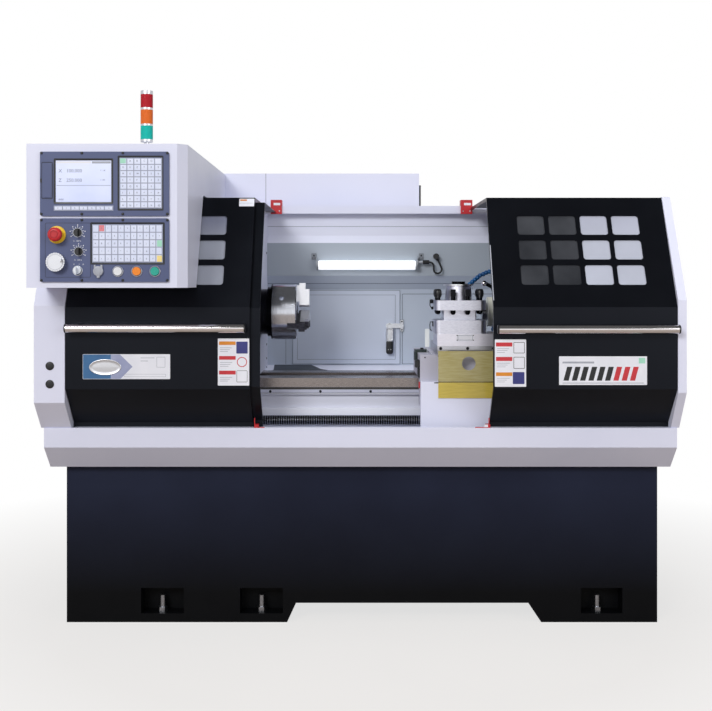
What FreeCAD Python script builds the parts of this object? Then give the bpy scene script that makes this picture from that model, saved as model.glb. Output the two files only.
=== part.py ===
import FreeCAD, Part
import math
import os

# CNC turning lathe, in millimetres. +X runs along the bed from chuck to tailstock, -Y is the
# operator's side and +Z is up. The origin is on the floor, below the middle of the machine;
# the spindle's axis lies in the plane Y = 0.

os.makedirs("parts", exist_ok=True)
V = FreeCAD.Vector

# ---- shared clearances -------------------------------------------------------------------
RUN_FIT = 0.05          # radial clearance of a shaft in its bearing
SLIDE_FIT = 0.1         # gap between two sliding flat faces
SEAT_GAP = 0.3          # gap of pieces that lie beside each other
SCREW_GAP = 0.3         # radial gap of a feed screw in its nut or support
SHEET = 3.0             # thickness of the folded sheet steel

# ---- overall -----------------------------------------------------------------------------
HALF_LENGTH = 1060.0    # from the middle to the outside of either end cover
FRONT_REACH = 666.0     # from the spindle to the head of the stop button
REAR_REACH = 666.0      # from the spindle to the back of the cabinet door
SPINDLE_Z = 1055.0      # height of the spindle's axis

# ---- cast base ---------------------------------------------------------------------------
BASE_X = (57.0 - HALF_LENGTH, HALF_LENGTH - 44.0)
BASE_Y = (-242.0, 300.0)
BASE_TOP = 537.0
BASE_WALL = 22.0
FOOT_GAP_FLOOR = (-250.0, 620.0)   # gap between the feet, at the floor
FOOT_GAP_TOP = (-219.0, 575.0)     # and at its top
FOOT_GAP_HEIGHT = 66.0
BAY_FLOOR = 140.0                  # floor of the two outer bays
POCKET_X = ((BASE_X[0] + 254.0, BASE_X[0] + 400.0), (-411.0, -264.0),
            (BASE_X[1] - 261.0, BASE_X[1] - 119.0))
POCKET_Z = (30.0, 117.0)
POCKET_DEPTH = 64.0
BOLT_IN = (69.0, 72.0, 61.0)       # from the left side of each pocket to its bolt
BOLT_R = 10.0
BOLT_HOLE_R = 11.0
BOLT_TOP = 86.0
BOLT_FOOT = 3.0
NUT_WIDTH = 30.0
NUT_HEIGHT = 16.0

# ---- chip tray ---------------------------------------------------------------------------
TRAY_X = (10.0 - HALF_LENGTH, HALF_LENGTH - 8.0)
TRAY_FRONT = -354.0
TRAY_REAR = 400.0
TRAY_TOP = 679.0
TRAY_FOLD = 614.0
TRAY_TOE = -274.0
TRAY_SHEET = 4.0

# ---- sliding doors: profile in the plane of Y and Z --------------------------------------
DOOR_TOP = 1452.0
DOOR_REAR = 285.0
DOOR_BROW = -236.0
DOOR_FRONT = -432.0
DOOR_BEND = 1082.0
DOOR_TUCK = 815.0
DOOR_FOOT_Y = -322.0
DOOR_FOOT_TOP = 694.0
DOOR_FOOT = 672.0
DOOR_FLANGE = 12.0      # depth of the folded end of a door
LAP_SETBACK = 16.0      # the left door's lap strip lies this far behind its face
LAP_WIDTH = 32.5
LEFT_DOOR_X = (102.0 - HALF_LENGTH, -359.5)
RIGHT_DOOR_X = (432.6, HALF_LENGTH - 28.9)
PANE_W = 91.5
PANE_PITCH = 106.5
PANE_H = 65.5           # height of a window, as Z
PANE_RISE = 84.0        # from one row of windows to the next, as Z
PANE_TOP = 64.0         # from the door's top to the first row
PANE_SILL = 20.0        # least distance of a window from the door's bend
PANE_EDGE = 45.0        # and from the door's far end
PANE_R = 10.0
PANE_SHEET = 3.0
PANE_FRAME = 12.0       # the pane sheet laps this far past its windows
RIGHT_PANE_X = RIGHT_DOOR_X[0] + 97.9
LEFT_PANE_X = LEFT_DOOR_X[1] - 91.5
HANDLE_R = 14.0
HANDLE_GAP = 17.0       # from door face to handle bar
HANDLE_POST_R = 8.0
LEFT_HANDLE_X = (LEFT_DOOR_X[0] + 8.0, LEFT_DOOR_X[1] - 14.5)
LEFT_HANDLE_Z = 1014.0
RIGHT_HANDLE_X = (RIGHT_DOOR_X[0] + 13.4, RIGHT_DOOR_X[1] - 4.1)
RIGHT_HANDLE_Z = 1011.0
HANDLE_POST_INSET = 26.0

# ---- end covers and inner guards ---------------------------------------------------------
GUARD_INSET = 28.0      # inner guards lie this far inside the doors
LEFT_COVER_IN = 100.0 - HALF_LENGTH
GUARD_FOOT = 620.0      # lower edge of the inner guard, inside the tray
GUARD_END = -362.0      # wall that the spindle nose comes through
NOSE_HOLE_R = 95.0
BAR_HOLE_R = 32.0
RIGHT_COVER_IN = HALF_LENGTH - 25.0
RIGHT_GUARD_X = 754.0
COVER_TOP = 1454.0
COVER_BROW = -240.0
COVER_FRONT = -436.0
COVER_FOOT_Y = -350.0
LEFT_COVER_BENDS = (1086.0, 771.0)
RIGHT_COVER_BENDS = (1104.0, 804.0)
PLUG_X = 52.0 - HALF_LENGTH
PLUG_Z = (891.0, 832.0)
PLUG_R = 13.0
PLUG_RISE = 2.0
BAND_CLEAR = 4.0        # from the bed's band to the top of the guard's slot round it

# ---- back wall, beam and lamp ------------------------------------------------------------
WALL_Y = 350.0
WALL_LAMP_Y = 320.0
WALL_TOP_Y = 336.0
WALL_FOLDS = (1345.0, 1315.0, 1187.0, 1133.0)
SHELF_Z = (835.0, 822.0)
SHELF_FRONT = 215.0
BEAM_Y = (296.0, 336.0)
BEAM_Z = (1429.0, 1459.0)
SWITCH_X = ((-346.0, -303.0), (394.0, 439.0))
SWITCH_TOP = 1482.0
SWITCH_FRONT = 286.0
SWITCH_BOTTOM = 1427.0
STOP_X = ((-352.0, -338.0), (418.0, 432.0))
STOP_HEIGHT = 11.0
HATCH_X = (-263.0, 158.0)
HATCH_Z = (840.0, 1128.0)
HATCH_LAP = 14.0
LATCH_X = 118.0
LATCH_Z = 990.0
LATCH_BAR = (-14.0, 56.0)
LATCH_LEVER = 84.0
LATCH_BAR_HALF = 9.0
LATCH_BAR_T = 6.0
LATCH_BAR_R = 8.0
PIVOT_R = 11.0
PIVOT_T = 12.0
LEVER_HALF = 8.0
LEVER_Y = (18.0, 8.0)   # front and back of the lever, from the bar's back
LEVER_RISE = 6.0
BOSS_HALF = 18.0
BOSS_RISE = 22.0
KEEPER_X = (2.0, 16.0)  # from the service door's edge
KEEPER_HALF = 24.0
LAMP_X = (-163.0, 220.0)
LAMP_Y = 300.0
LAMP_Z = 1228.0
LAMP_R = 17.5
LAMP_CAP = 5.0
LAMP_CAP_RISE = 1.5
BRACKET_DEPTH = 12.0    # the brackets reach this far in front of the lamp's axis
BRACKET_RISE = 34.0
CONNECTOR_Z = 1239.5
CONNECTOR_X = (247.0, 271.4)
CONNECTOR_R = 8.4
NECK_R = 5.0
CABLE_R = 3.5
GLAND_X = 298.7
GLAND_Z = 1263.0
GLAND_R = 11.0
GLAND_THROAT = 18.0
GLAND_LIP = 1.5         # wall of the gland's throat round the cable

# The lamp's cable, from the connector to the gland, as X and Z of its corners.
CABLE_BEND = 14.0       # bend radius at the middle of the cable, twice its diameter
CABLE_LEFT = 290.0
CABLE_RIGHT = 318.5
CABLE_LOW = 1196.0
CABLE_TURN = 1220.0     # height at which the cable leans over towards its gland
CABLE_END = (306.2, 1246.6)
CABLE_ROUTE = (
    (CONNECTOR_X[1], CONNECTOR_Z), (CABLE_LEFT, CONNECTOR_Z), (CABLE_LEFT, CABLE_LOW),
    (CABLE_RIGHT, CABLE_LOW), (CABLE_RIGHT, CABLE_TURN), CABLE_END,
)

# ---- electrical cabinet ------------------------------------------------------------------
CABINET_X = (60.0 - HALF_LENGTH, 238.0)
CABINET_FRONT = 400.0
CABINET_Z = (700.0, 1595.0)
CABINET_HINGE_R = 5.0
HINGE_LENGTH = 24.0
HINGE_SEAT = 20.0
HINGE_ARM = (24.0, 8.0)            # Y of the seat's arm, from the back of the shell
HINGE_LEAF = 2.0
HINGE_OUT = (8.0, 4.0)             # X and Y of the axis from the shell's rear corner
HINGE_SHARE = 0.15                 # hinges lie this share of the height from either end
VENT_ROWS = 8
VENT_PITCH = 22.0
VENT_HEIGHT = 6.0
VENT_TOP = 60.0         # from the top of the cabinet to the first slot
VENT_SIDE = 50.0

# ---- control housing ---------------------------------------------------------------------
HOUSING_X = (30.5 - HALF_LENGTH, 523.5 - HALF_LENGTH)
HOUSING_CHAMFER = 28.5
STOP_PROUD = 44.0       # from the housing's face to the head of the stop button
HOUSING_FACE = STOP_PROUD - FRONT_REACH
HOUSING_Z = (1146.0, 1590.0)
HOUSING_GAP = BEAM_Z[1] + SEAT_GAP - DOOR_TOP  # from sliding door to housing, which clears the beam
PANEL_X = (HOUSING_X[0] + 43.5, HOUSING_X[1] - 52.5)
UPPER_PANEL_Z = (1367.0, 1565.0)
LOWER_PANEL_Z = (1164.0, 1360.0)
PANEL_T = 6.0
PANEL_R = 8.0
PANEL_LAP = 12.0
SCREEN_X = (PANEL_X[0] + 48.5, PANEL_X[0] + 219.5)
SCREEN_Z = (1410.0, 1538.0)
SCREEN_DEPTH = 3.0
SCREEN_T = 2.0
SOFT_KEYS_X = (PANEL_X[0] + 43.0, PANEL_X[0] + 226.0)
SOFT_KEYS_Z = (1383.0, 1399.0)
SLOT_X = (PANEL_X[0] + 7.0, PANEL_X[0] + 37.0)
SLOT_Z = (1424.0, 1530.0)
KEYS_UPPER_X = (PANEL_X[0] + 245.0, PANEL_X[0] + 376.0)
KEYS_UPPER_Z = (1390.0, 1546.0)
KEYS_LOWER_X = (PANEL_X[0] + 161.0, PANEL_X[0] + 378.0)
KEYS_LOWER_Z = (1224.0, 1341.0)
KEY_PLATE = 1.5
KEY_RISE = 1.0
KEY_SINK = 0.5          # a key reaches this far into its plate
KEY_GAP = 3.0
STOP_BUTTON = (PANEL_X[0] + 53.0, 1309.0)
STOP_RING_R = 26.0
STOP_HEAD_R = 21.5
STOP_TRAVEL = 6.0
DIAL = (PANEL_X[0] + 52.0, 1225.0)
DIAL_R = 29.0
DIAL_DEPTH = 20.0
FEED_SELECTOR = (PANEL_X[0] + 116.0, 1316.0)
SPEED_SELECTOR = (PANEL_X[0] + 119.0, 1258.0)
SELECTOR_R = 12.0
GRIP_IN = 1.0           # the grip ends this far inside the skirt's edge
KEY_SWITCH = (PANEL_X[0] + 116.0, 1200.0)
BUTTON_X = {"button_white": PANEL_X[0] + 240.0, "button_orange": PANEL_X[0] + 298.0,
            "button_green": PANEL_X[0] + 354.0}
BUTTON_Z = 1197.0
BUTTON_R = 13.0
BUTTON_RING_R = 16.0
BUTTON_RISE = 7.0
BUTTON_CAP_T = 3.0
PORT_X = PANEL_X[0] + 180.0
STEM_R = 5.0
STEM_BACK = 12.0        # a stem ends this far behind the housing's face
STEM_SINK = 2.0         # and starts this far inside its knob
SLOT_R = 3.0
SLOT_RISE = 2.0
STOP_RING_RISE = 4.0
STOP_HEAD_T = 16.0
STOP_EDGE_R = 9.0
STOP_NECK_R = 11.8
BUTTON_RING_RISE = 3.0
PORT_HALF = (14.0, 11.0)
PORT_R = 6.0
PORT_RISE = 5.0
DIAL_GROOVES = 24
DIAL_GROOVE_R = 1.6
DIAL_GROOVE_OUT = 0.4
DIAL_KNOB = (17.0, 6.0)
DIAL_KNOB_R = 5.0
DIAL_KNOB_RISE = 14.0
SKIRT_T = 6.0
GRIP_HALF = 4.0
GRIP_RISE = 18.0
LOCK_T = 8.0
KEY_HALF = 1.5
KEY_BLADE = (22.0, 5.0)            # reach and half height of the key's blade
KEY_BOW_Y = (30.0, 14.0)
KEY_BOW_Z = (14.0, 9.0)
KEY_COUNTS = ((6, 8), (11, 5), (7, 1))   # columns and rows: upper, lower and soft keys

# ---- signal tower ------------------------------------------------------------------------
TOWER = (HOUSING_X[1] - 157.5, -432.0)
TOWER_R = 20.0
TOWER_CORE_R = 8.0
LENS_WALL = 3.0
LENS_Z = ((1626.0, 1670.0), (1676.0, 1722.0), (1729.0, 1772.0))
TOWER_TOP = 1784.0
TOWER_FLANGE_R = 26.0
TOWER_FLANGE_T = 4.0
TOWER_FOOT = 28.0

# ---- bed and headstock -------------------------------------------------------------------
BED_X = (215.0 - HALF_LENGTH, HALF_LENGTH - 75.0)
BED_HALF = 165.0
WAY_W = 100.0
WAY_TOP = 828.5
WAY_BOTTOM = 771.0
WEB_Y = (85.0, 150.0)
BED_FLOOR = 575.0
BAND_Z = (699.0, 724.0)
RIB_X = (-600.0, -180.0, 130.0, 430.0, 730.0)
RIB_T = 24.0
HEAD_X = (210.0 - HALF_LENGTH, -380.0)
HEAD_HALF = 190.0
HEAD_TOP = 1225.0
HEAD_BORE_R = 75.0
HEAD_EDGE_R = 30.0
BEARING_W = 50.0
NOSE_CAP_R = 105.0
NOSE_CAP_GAP = 1.0      # from the nose cap to the guard's wall

# ---- spindle, drive and chuck ------------------------------------------------------------
SPINDLE_X = (110.0 - HALF_LENGTH, -333.0)
SPINDLE_R = 55.0
SPINDLE_BORE_R = 26.0
NOSE_R = 82.0
NOSE_LENGTH = 29.0
PULLEY_X = (SPINDLE_X[0] + 25.0, SPINDLE_X[0] + 90.0)
SPINDLE_PULLEY_R = 85.0
MOTOR_PULLEY_R = 70.0
BELT_T = 8.0
BELT_W = 17.0
BELT_COUNT = 3
BELT_SLOT = (PULLEY_X[0] - 12.0, PULLEY_X[1] + 12.0)
BELT_SLOT_HALF = 112.0
MOTOR_Z = 300.0
MOTOR_R = 105.0
MOTOR_X = (PULLEY_X[1] + 15.0, PULLEY_X[1] + 300.0)
MOTOR_SHAFT_R = 19.0
MOTOR_FOOT_IN = 40.0    # the foot ends this far inside the motor's ends
MOTOR_FOOT_HALF = 90.0
TERMINAL_X = (60.0, 160.0)         # terminal box, from the motor's pulley end
TERMINAL_HALF = 50.0
TERMINAL_RISE = 40.0
FIN_COUNT = 7
FIN_PITCH = 26.0
FIN_T = 6.0
FIN_RISE = 8.0
SHAFT_SINK = 28.0       # the pulley's shaft runs this far into the motor
SHAFT_END_GAP = 2.0
CHUCK_R = 100.0
CHUCK_X = (-319.0, -227.0)
CHUCK_BACK_R = 90.0
CHUCK_BORE_R = 30.0
JAW_COUNT = 3
JAW_SLOT_W = 26.0
JAW_SLOT_DEPTH = 32.0
JAW_W = 40.0
JAW_R = (17.0, 104.0)
JAW_TIP_W = 12.0
JAW_BLOCK_X = (-219.0, -183.0)
CHUCK_KEY_R = 8.0
CHUCK_KEY_DEPTH = 22.0
CHUCK_KEY_X = 40.0      # from the back of the chuck's body
CHUCK_CHAMFER = 3.0
JAW_RAIL_IN = 8.0
JAW_STEP = (14.0, 22.0)            # depth along X and height of a jaw's outer step

# ---- feed screws and carriage ------------------------------------------------------------
Z_SCREW_R = 16.0
Z_SCREW_Y = -208.0
Z_SCREW_Z = 687.0
Z_SCREW_X = (-425.0, BED_X[1] - 5.0)
SCREW_SUPPORT_T = 28.0
SCREW_SUPPORT_X = (-412.0, BED_X[1] - SCREW_SUPPORT_T)
Z_MOTOR_HALF = 38.0
Z_MOTOR_LENGTH = 130.0
Z_FLANGE_T = 22.0
X_FLANGE_T = 14.0
SERVO_STEP = 4.0        # a servo motor is this much smaller than its flange
Z_NUT_X = (300.0, 400.0)
SCREW_POCKET = 6.0      # skin left in front of the cross screw's bearing
SCREW_END_GAP = 2.0
SADDLE_X = (205.0, 505.0)
SADDLE_Y = (-242.0, 190.0)
SADDLE_TOP = 913.0
SADDLE_SKIRT = 740.0
DOVETAIL_NECK = (310.0, 432.0)
DOVETAIL_TOP = (300.0, 442.0)
DOVETAIL_Z = 930.0
X_SCREW_X = 371.0
X_SCREW_Z = 893.0
X_SCREW_R = 10.0
TROUGH_HALF = 25.0
TROUGH_BOTTOM = 872.0
NUT_HALF = 18.0
NUT_SINK = 2.0          # the nut reaches this far into the slide
APRON_FRONT = -286.0
APRON_Z = (671.0, 825.0)
GUARD_X = (264.0, 484.0)
GUARD_Z = (771.0, 930.0)
GUARD_HOLE = (367.0, 888.0)
GUARD_HOLE_R = 23.0
X_MOTOR_HALF = 36.0
X_MOTOR_LENGTH = 110.0
SLIDE_X = (264.0, 478.0)
SLIDE_Y = (-250.0, 110.0)
SLIDE_TOP = 945.0
TURRET_BASE_X = (264.0, 472.0)
TURRET_BASE_Y = (-246.0, -42.0)
TURRET_BASE_TOP = 986.0
TURRET_BASE_LIP = 14.0
TURRET_BASE_STEP = 4.0
TURRET_CORE_R = 4.0
TURRET_CAP_RISE = 14.0
TURRET = (345.0, -146.0)
TURRET_SIDE = 178.0
TURRET_R = 20.0
TURRET_CORE = 114.0
TURRET_LEVELS = (1032.0, 1066.0, 1100.0, 1151.0)
HUB_R = (47.0, 43.5)
HUB_PLATE_R = 53.0
CLAMP_R = 7.0
CLAMP_HEAD = 17.0
CLAMP_COLLAR_R = 8.0
CLAMP_Z = (1054.0, 1114.0, 1138.0)
CLAMP_REACH = 73.0
CLAMP_OFFSET = 25.0
HOSE_Y = 105.0
HOSE_R = 8.6
HOSE_FOOT_R = 10.6
HOSE_PITCH = 12.5
HOSE_POINTS = ((493.0, 924.0), (500.0, 1010.0), (521.0, 1120.0), (512.0, 1190.0),
               (481.0, 1202.0), (447.0, 1186.0), (420.0, 1163.0), (404.0, 1148.0))

# ---- tailstock ---------------------------------------------------------------------------
TAIL_X = (560.0, 860.0)
TAIL_HALF = 150.0
TAIL_BASE_TOP = 872.0
TAIL_WEB_HALF = 80.0    # half width of the tailstock's web at its foot
TAIL_WEB_IN = (20.0, 10.0)         # the web ends this far inside the base and the barrel
TAIL_WEB_SINK = 2.0     # the web is this much narrower than the barrel where they meet
BARREL_R = 53.5
BARREL_X = (462.0, 845.0)
QUILL_R = 32.5
QUILL_X = (442.0, 740.0)
QUILL_BORE_END = 790.0
TAPER_R = (12.0, 9.0)
TAPER_DEPTH = 100.0
WHEEL_R = 85.0
WHEEL_RIM_R = 9.0
WHEEL_HUB_R = 22.0
WHEEL_HUB_T = 40.0
WHEEL_SHAFT_R = 12.0
WHEEL_GRIP = 50.0       # reach of the grip past the rim
WHEEL_GRIP_R = 7.5
WHEEL_SPOKES = 3
SPOKE_R = 6.3


# ---- building blocks ---------------------------------------------------------------------
def box(x, y, z):
    """Block between the low and high value of each of x, y and z."""
    return Part.makeBox(x[1] - x[0], y[1] - y[0], z[1] - z[0], V(x[0], y[0], z[0]))


def rod_x(r, x, y, z):
    return Part.makeCylinder(r, x[1] - x[0], V(x[0], y, z), V(1, 0, 0))


def rod_y(r, y, x, z):
    return Part.makeCylinder(r, y[1] - y[0], V(x, y[0], z), V(0, 1, 0))


def rod_z(r, z, x, y):
    return Part.makeCylinder(r, z[1] - z[0], V(x, y, z[0]), V(0, 0, 1))


def prism_x(outline, x):
    """Polygon of (Y, Z) points carried along X."""
    points = [V(x[0], y, z) for y, z in outline]
    return Part.Face(Part.makePolygon(points + points[:1])).extrude(V(x[1] - x[0], 0, 0))


def prism_y(outline, y):
    """Polygon of (X, Z) points carried along Y."""
    points = [V(x, y[0], z) for x, z in outline]
    return Part.Face(Part.makePolygon(points + points[:1])).extrude(V(0, y[1] - y[0], 0))


def inset(profile, depth):
    """The profile moved sideways by depth towards its left, with its corners kept sharp."""
    normals = []
    for (y0, z0), (y1, z1) in zip(profile, profile[1:]):
        run = math.hypot(y1 - y0, z1 - z0)
        normals.append((-(z1 - z0) / run, (y1 - y0) / run))
    moved = []
    for i, (y, z) in enumerate(profile):
        a = normals[max(i - 1, 0)]
        b = normals[min(i, len(normals) - 1)]
        k = depth / (1 + a[0] * b[0] + a[1] * b[1])
        moved.append((y + k * (a[0] + b[0]), z + k * (a[1] + b[1])))
    return moved


def folded(profile, thickness, x):
    """Sheet folded along the profile, with its thickness on the profile's left."""
    return prism_x(profile + inset(profile, thickness)[::-1], x)


def rounded_plate(x, z, r, y):
    """Plate in the plane of X and Z with round corners, from y[0] to y[1]."""
    plate = box(x, y, z)
    upright = [e for e in plate.Edges if abs(e.tangentAt(e.FirstParameter).y) > 0.99]
    return plate.makeFillet(r, upright)


def rounded_block(x, y, r, z):
    """Block with its four upright edges rounded."""
    block = box(x, y, z)
    upright = [e for e in block.Edges if abs(e.tangentAt(e.FirstParameter).z) > 0.99]
    return block.makeFillet(r, upright)


def fused(shapes):
    return shapes[0].multiFuse(shapes[1:]).removeSplitter()


def cut(shape, tools):
    return shape.cut(tools)


# ---- profiles ----------------------------------------------------------------------------
DOOR_PROFILE = [
    (DOOR_REAR, DOOR_TOP), (DOOR_BROW, DOOR_TOP), (DOOR_FRONT, DOOR_BEND),
    (DOOR_FRONT, DOOR_TUCK), (DOOR_FOOT_Y, DOOR_FOOT_TOP), (DOOR_FOOT_Y, DOOR_FOOT),
]


def cover_profile(bends):
    """Outer profile of an end cover, from its back edge round the front to the tray's rim."""
    return [
        (TRAY_REAR, COVER_TOP), (COVER_BROW, COVER_TOP), (COVER_FRONT, bends[0]),
        (COVER_FRONT, bends[1]), (COVER_FOOT_Y, TRAY_TOP),
    ]


def guard_profile():
    """Profile of an inner guard, which runs inside the door and ends inside the tray."""
    inner = inset(DOOR_PROFILE, GUARD_INSET)
    return [(TRAY_REAR, inner[0][1])] + inner[1:-1] + [(inner[-1][0], GUARD_FOOT)]


def closed_region(profile, bottom):
    """The profile closed through the back of the machine."""
    return profile + [(profile[0][0], bottom)]


# ---- base --------------------------------------------------------------------------------
def make_base():
    body = box(BASE_X, BASE_Y, (0, BASE_TOP))
    gap = prism_y(
        [(FOOT_GAP_FLOOR[0], -1), (FOOT_GAP_TOP[0], FOOT_GAP_HEIGHT),
         (FOOT_GAP_TOP[1], FOOT_GAP_HEIGHT), (FOOT_GAP_FLOOR[1], -1)],
        (BASE_Y[0] - 1, BASE_Y[1] + 1),
    )
    wall = BASE_WALL / 2
    middles = (FOOT_GAP_FLOOR[0] - BASE_WALL, FOOT_GAP_TOP[1] + wall)
    bay_top = BASE_TOP - BASE_WALL
    bay_y = (BASE_Y[0] + BASE_WALL, BASE_Y[1] + 1)
    bays = [
        box((BASE_X[0] + BASE_WALL, middles[0] - wall), bay_y, (BAY_FLOOR, bay_top)),
        box((middles[0] + wall, middles[1] - wall), bay_y,
            (FOOT_GAP_HEIGHT + BASE_WALL, bay_top)),
        box((middles[1] + wall, BASE_X[1] - BASE_WALL), bay_y, (BAY_FLOOR, bay_top)),
    ]
    slot = box(BELT_SLOT, (-BELT_SLOT_HALF, BELT_SLOT_HALF), (bay_top - 1, BASE_TOP + 1))
    pockets = []
    for x in POCKET_X:
        pockets.append(box(x, (BASE_Y[0] - 1, BASE_Y[0] + POCKET_DEPTH), POCKET_Z))
        pockets.append(box(x, (BASE_Y[1] - POCKET_DEPTH, BASE_Y[1] + 1), POCKET_Z))
    holes = [rod_z(BOLT_HOLE_R, (-1, POCKET_Z[0] + 1), x, y) for x, y in bolt_places()]
    return cut(body, [gap, slot] + bays + pockets + holes)


def bolt_places():
    front = BASE_Y[0] + POCKET_DEPTH / 2
    rear = BASE_Y[1] - POCKET_DEPTH / 2
    places = [pocket[0] + reach for pocket, reach in zip(POCKET_X, BOLT_IN)]
    return [(x, y) for x in places for y in (front, rear)]


def make_levelling_bolts():
    bolts = []
    for x, y in bolt_places():
        shank = rod_z(BOLT_R, (BOLT_FOOT, BOLT_TOP), x, y)
        nut = hexagon(NUT_WIDTH, x, y).extrude(V(0, 0, NUT_HEIGHT))
        nut.translate(V(0, 0, POCKET_Z[0]))
        bolts.append(fused([shank, nut]))
    return Part.makeCompound(bolts)


def hexagon(width, x, y):
    """Hexagonal face at Z = 0 of the given width across its flats."""
    reach = width / math.sqrt(3)
    points = [V(x + reach * math.cos(math.radians(60 * i)),
                y + reach * math.sin(math.radians(60 * i)), 0) for i in range(6)]
    return Part.Face(Part.makePolygon(points + points[:1]))


def tray_profile():
    """Outer profile of the tray, from the front rim's inner edge under to the back rim."""
    return [
        (DOOR_FOOT_Y - SEAT_GAP, TRAY_TOP), (TRAY_FRONT, TRAY_TOP), (TRAY_FRONT, TRAY_FOLD),
        (TRAY_TOE, BASE_TOP), (TRAY_REAR, BASE_TOP), (TRAY_REAR, TRAY_TOP),
    ]


def make_chip_tray():
    pan = folded(tray_profile(), TRAY_SHEET, TRAY_X)
    outline = tray_profile()[1:]
    ends = [prism_x(outline, (TRAY_X[0], TRAY_X[0] + TRAY_SHEET)),
            prism_x(outline, (TRAY_X[1] - TRAY_SHEET, TRAY_X[1]))]
    slot = box(BELT_SLOT, (-BELT_SLOT_HALF, BELT_SLOT_HALF),
               (BASE_TOP - 1, BASE_TOP + TRAY_SHEET + 1))
    return cut(fused([pan] + ends), [slot])


# ---- bed, headstock and drive ------------------------------------------------------------
def make_bed():
    floor_z = BASE_TOP + TRAY_SHEET
    inner = BED_HALF - WAY_W
    parts = [box(BED_X, (-BED_HALF, BED_HALF), (floor_z, BED_FLOOR))]
    for side in (-1, 1):
        way = sorted((side * BED_HALF, side * inner))
        web = sorted((side * WEB_Y[0], side * WEB_Y[1]))
        parts.append(box(BED_X, way, (WAY_BOTTOM, WAY_TOP)))
        parts.append(box(BED_X, web, (BED_FLOOR, WAY_BOTTOM)))
    for x in RIB_X:
        parts.append(box((x, x + RIB_T), (-WEB_Y[0], WEB_Y[0]), (BED_FLOOR, WAY_BOTTOM)))
    parts.append(box(BED_X, (-BED_HALF, -WEB_Y[1]), BAND_Z))
    return Part.makeCompound([fused(parts)] + [screw_support(x) for x in SCREW_SUPPORT_X])


def screw_support(x):
    """Block on the bed's band that carries one end of the long feed screw."""
    span = (x, x + SCREW_SUPPORT_T)
    block = box(span, (Z_SCREW_Y - 2 * Z_SCREW_R, -BED_HALF),
                (Z_SCREW_Z - 2 * Z_SCREW_R, BAND_Z[1]))
    bore = rod_x(Z_SCREW_R + SCREW_GAP, (span[0] - 1, span[1] + 1), Z_SCREW_Y, Z_SCREW_Z)
    return cut(block, [bore])


def make_headstock():
    casting = box(HEAD_X, (-HEAD_HALF, HEAD_HALF), (WAY_TOP, HEAD_TOP))
    long_edges = [e for e in casting.Edges if e.BoundBox.ZMin > HEAD_TOP - 1
                  and e.BoundBox.XLength > 1]
    casting = casting.makeFillet(HEAD_EDGE_R, long_edges)
    casting = cut(casting, [rod_x(HEAD_BORE_R, (HEAD_X[0] - 1, HEAD_X[1] + 1), 0, SPINDLE_Z)])
    rings = [
        ring_x(SPINDLE_R + RUN_FIT, HEAD_BORE_R - RUN_FIT, (HEAD_X[0], HEAD_X[0] + BEARING_W)),
        ring_x(SPINDLE_R + RUN_FIT, HEAD_BORE_R - RUN_FIT, (HEAD_X[1] - BEARING_W, HEAD_X[1])),
        ring_x(SPINDLE_R + SEAT_GAP, NOSE_CAP_R, (HEAD_X[1], GUARD_END - SHEET - NOSE_CAP_GAP)),
    ]
    return Part.makeCompound([casting] + rings)


def ring_x(inner, outer, x):
    """Ring round the spindle's axis."""
    hole = rod_x(inner, (x[0] - 1, x[1] + 1), 0, SPINDLE_Z)
    return cut(rod_x(outer, x, 0, SPINDLE_Z), [hole])


def make_spindle():
    shaft = fused([
        rod_x(SPINDLE_R, SPINDLE_X, 0, SPINDLE_Z),
        rod_x(NOSE_R, (SPINDLE_X[1] - NOSE_LENGTH, SPINDLE_X[1]), 0, SPINDLE_Z),
    ])
    bore = rod_x(SPINDLE_BORE_R, (SPINDLE_X[0] - 1, SPINDLE_X[1] + 1), 0, SPINDLE_Z)
    pulley = ring_x(SPINDLE_R + RUN_FIT, SPINDLE_PULLEY_R, PULLEY_X)
    return Part.makeCompound([cut(shaft, [bore]), pulley])


def make_main_motor():
    start = MOTOR_X[0]
    body = rod_x(MOTOR_R, MOTOR_X, 0, MOTOR_Z)
    foot = box((start + MOTOR_FOOT_IN, MOTOR_X[1] - MOTOR_FOOT_IN),
               (-MOTOR_FOOT_HALF, MOTOR_FOOT_HALF), (BAY_FLOOR, MOTOR_Z - MOTOR_R / 2))
    terminal_box = box((start + TERMINAL_X[0], start + TERMINAL_X[1]),
                       (-TERMINAL_HALF, TERMINAL_HALF),
                       (MOTOR_Z, MOTOR_Z + MOTOR_R + TERMINAL_RISE))
    fins = []
    for i in range(FIN_COUNT):
        x = start + TERMINAL_X[0] + FIN_PITCH * i
        fins.append(rod_x(MOTOR_R + FIN_RISE, (x, x + FIN_T), 0, MOTOR_Z))
    bore = rod_x(MOTOR_SHAFT_R + RUN_FIT, (start - 1, start + SHAFT_SINK + SHAFT_END_GAP),
                 0, MOTOR_Z)
    return cut(fused([body, foot, terminal_box] + fins), [bore])


def make_motor_pulley():
    return fused([
        rod_x(MOTOR_PULLEY_R, PULLEY_X, 0, MOTOR_Z),
        rod_x(MOTOR_SHAFT_R, (PULLEY_X[1] - 1, MOTOR_X[0] + SHAFT_SINK), 0, MOTOR_Z),
    ])


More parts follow.
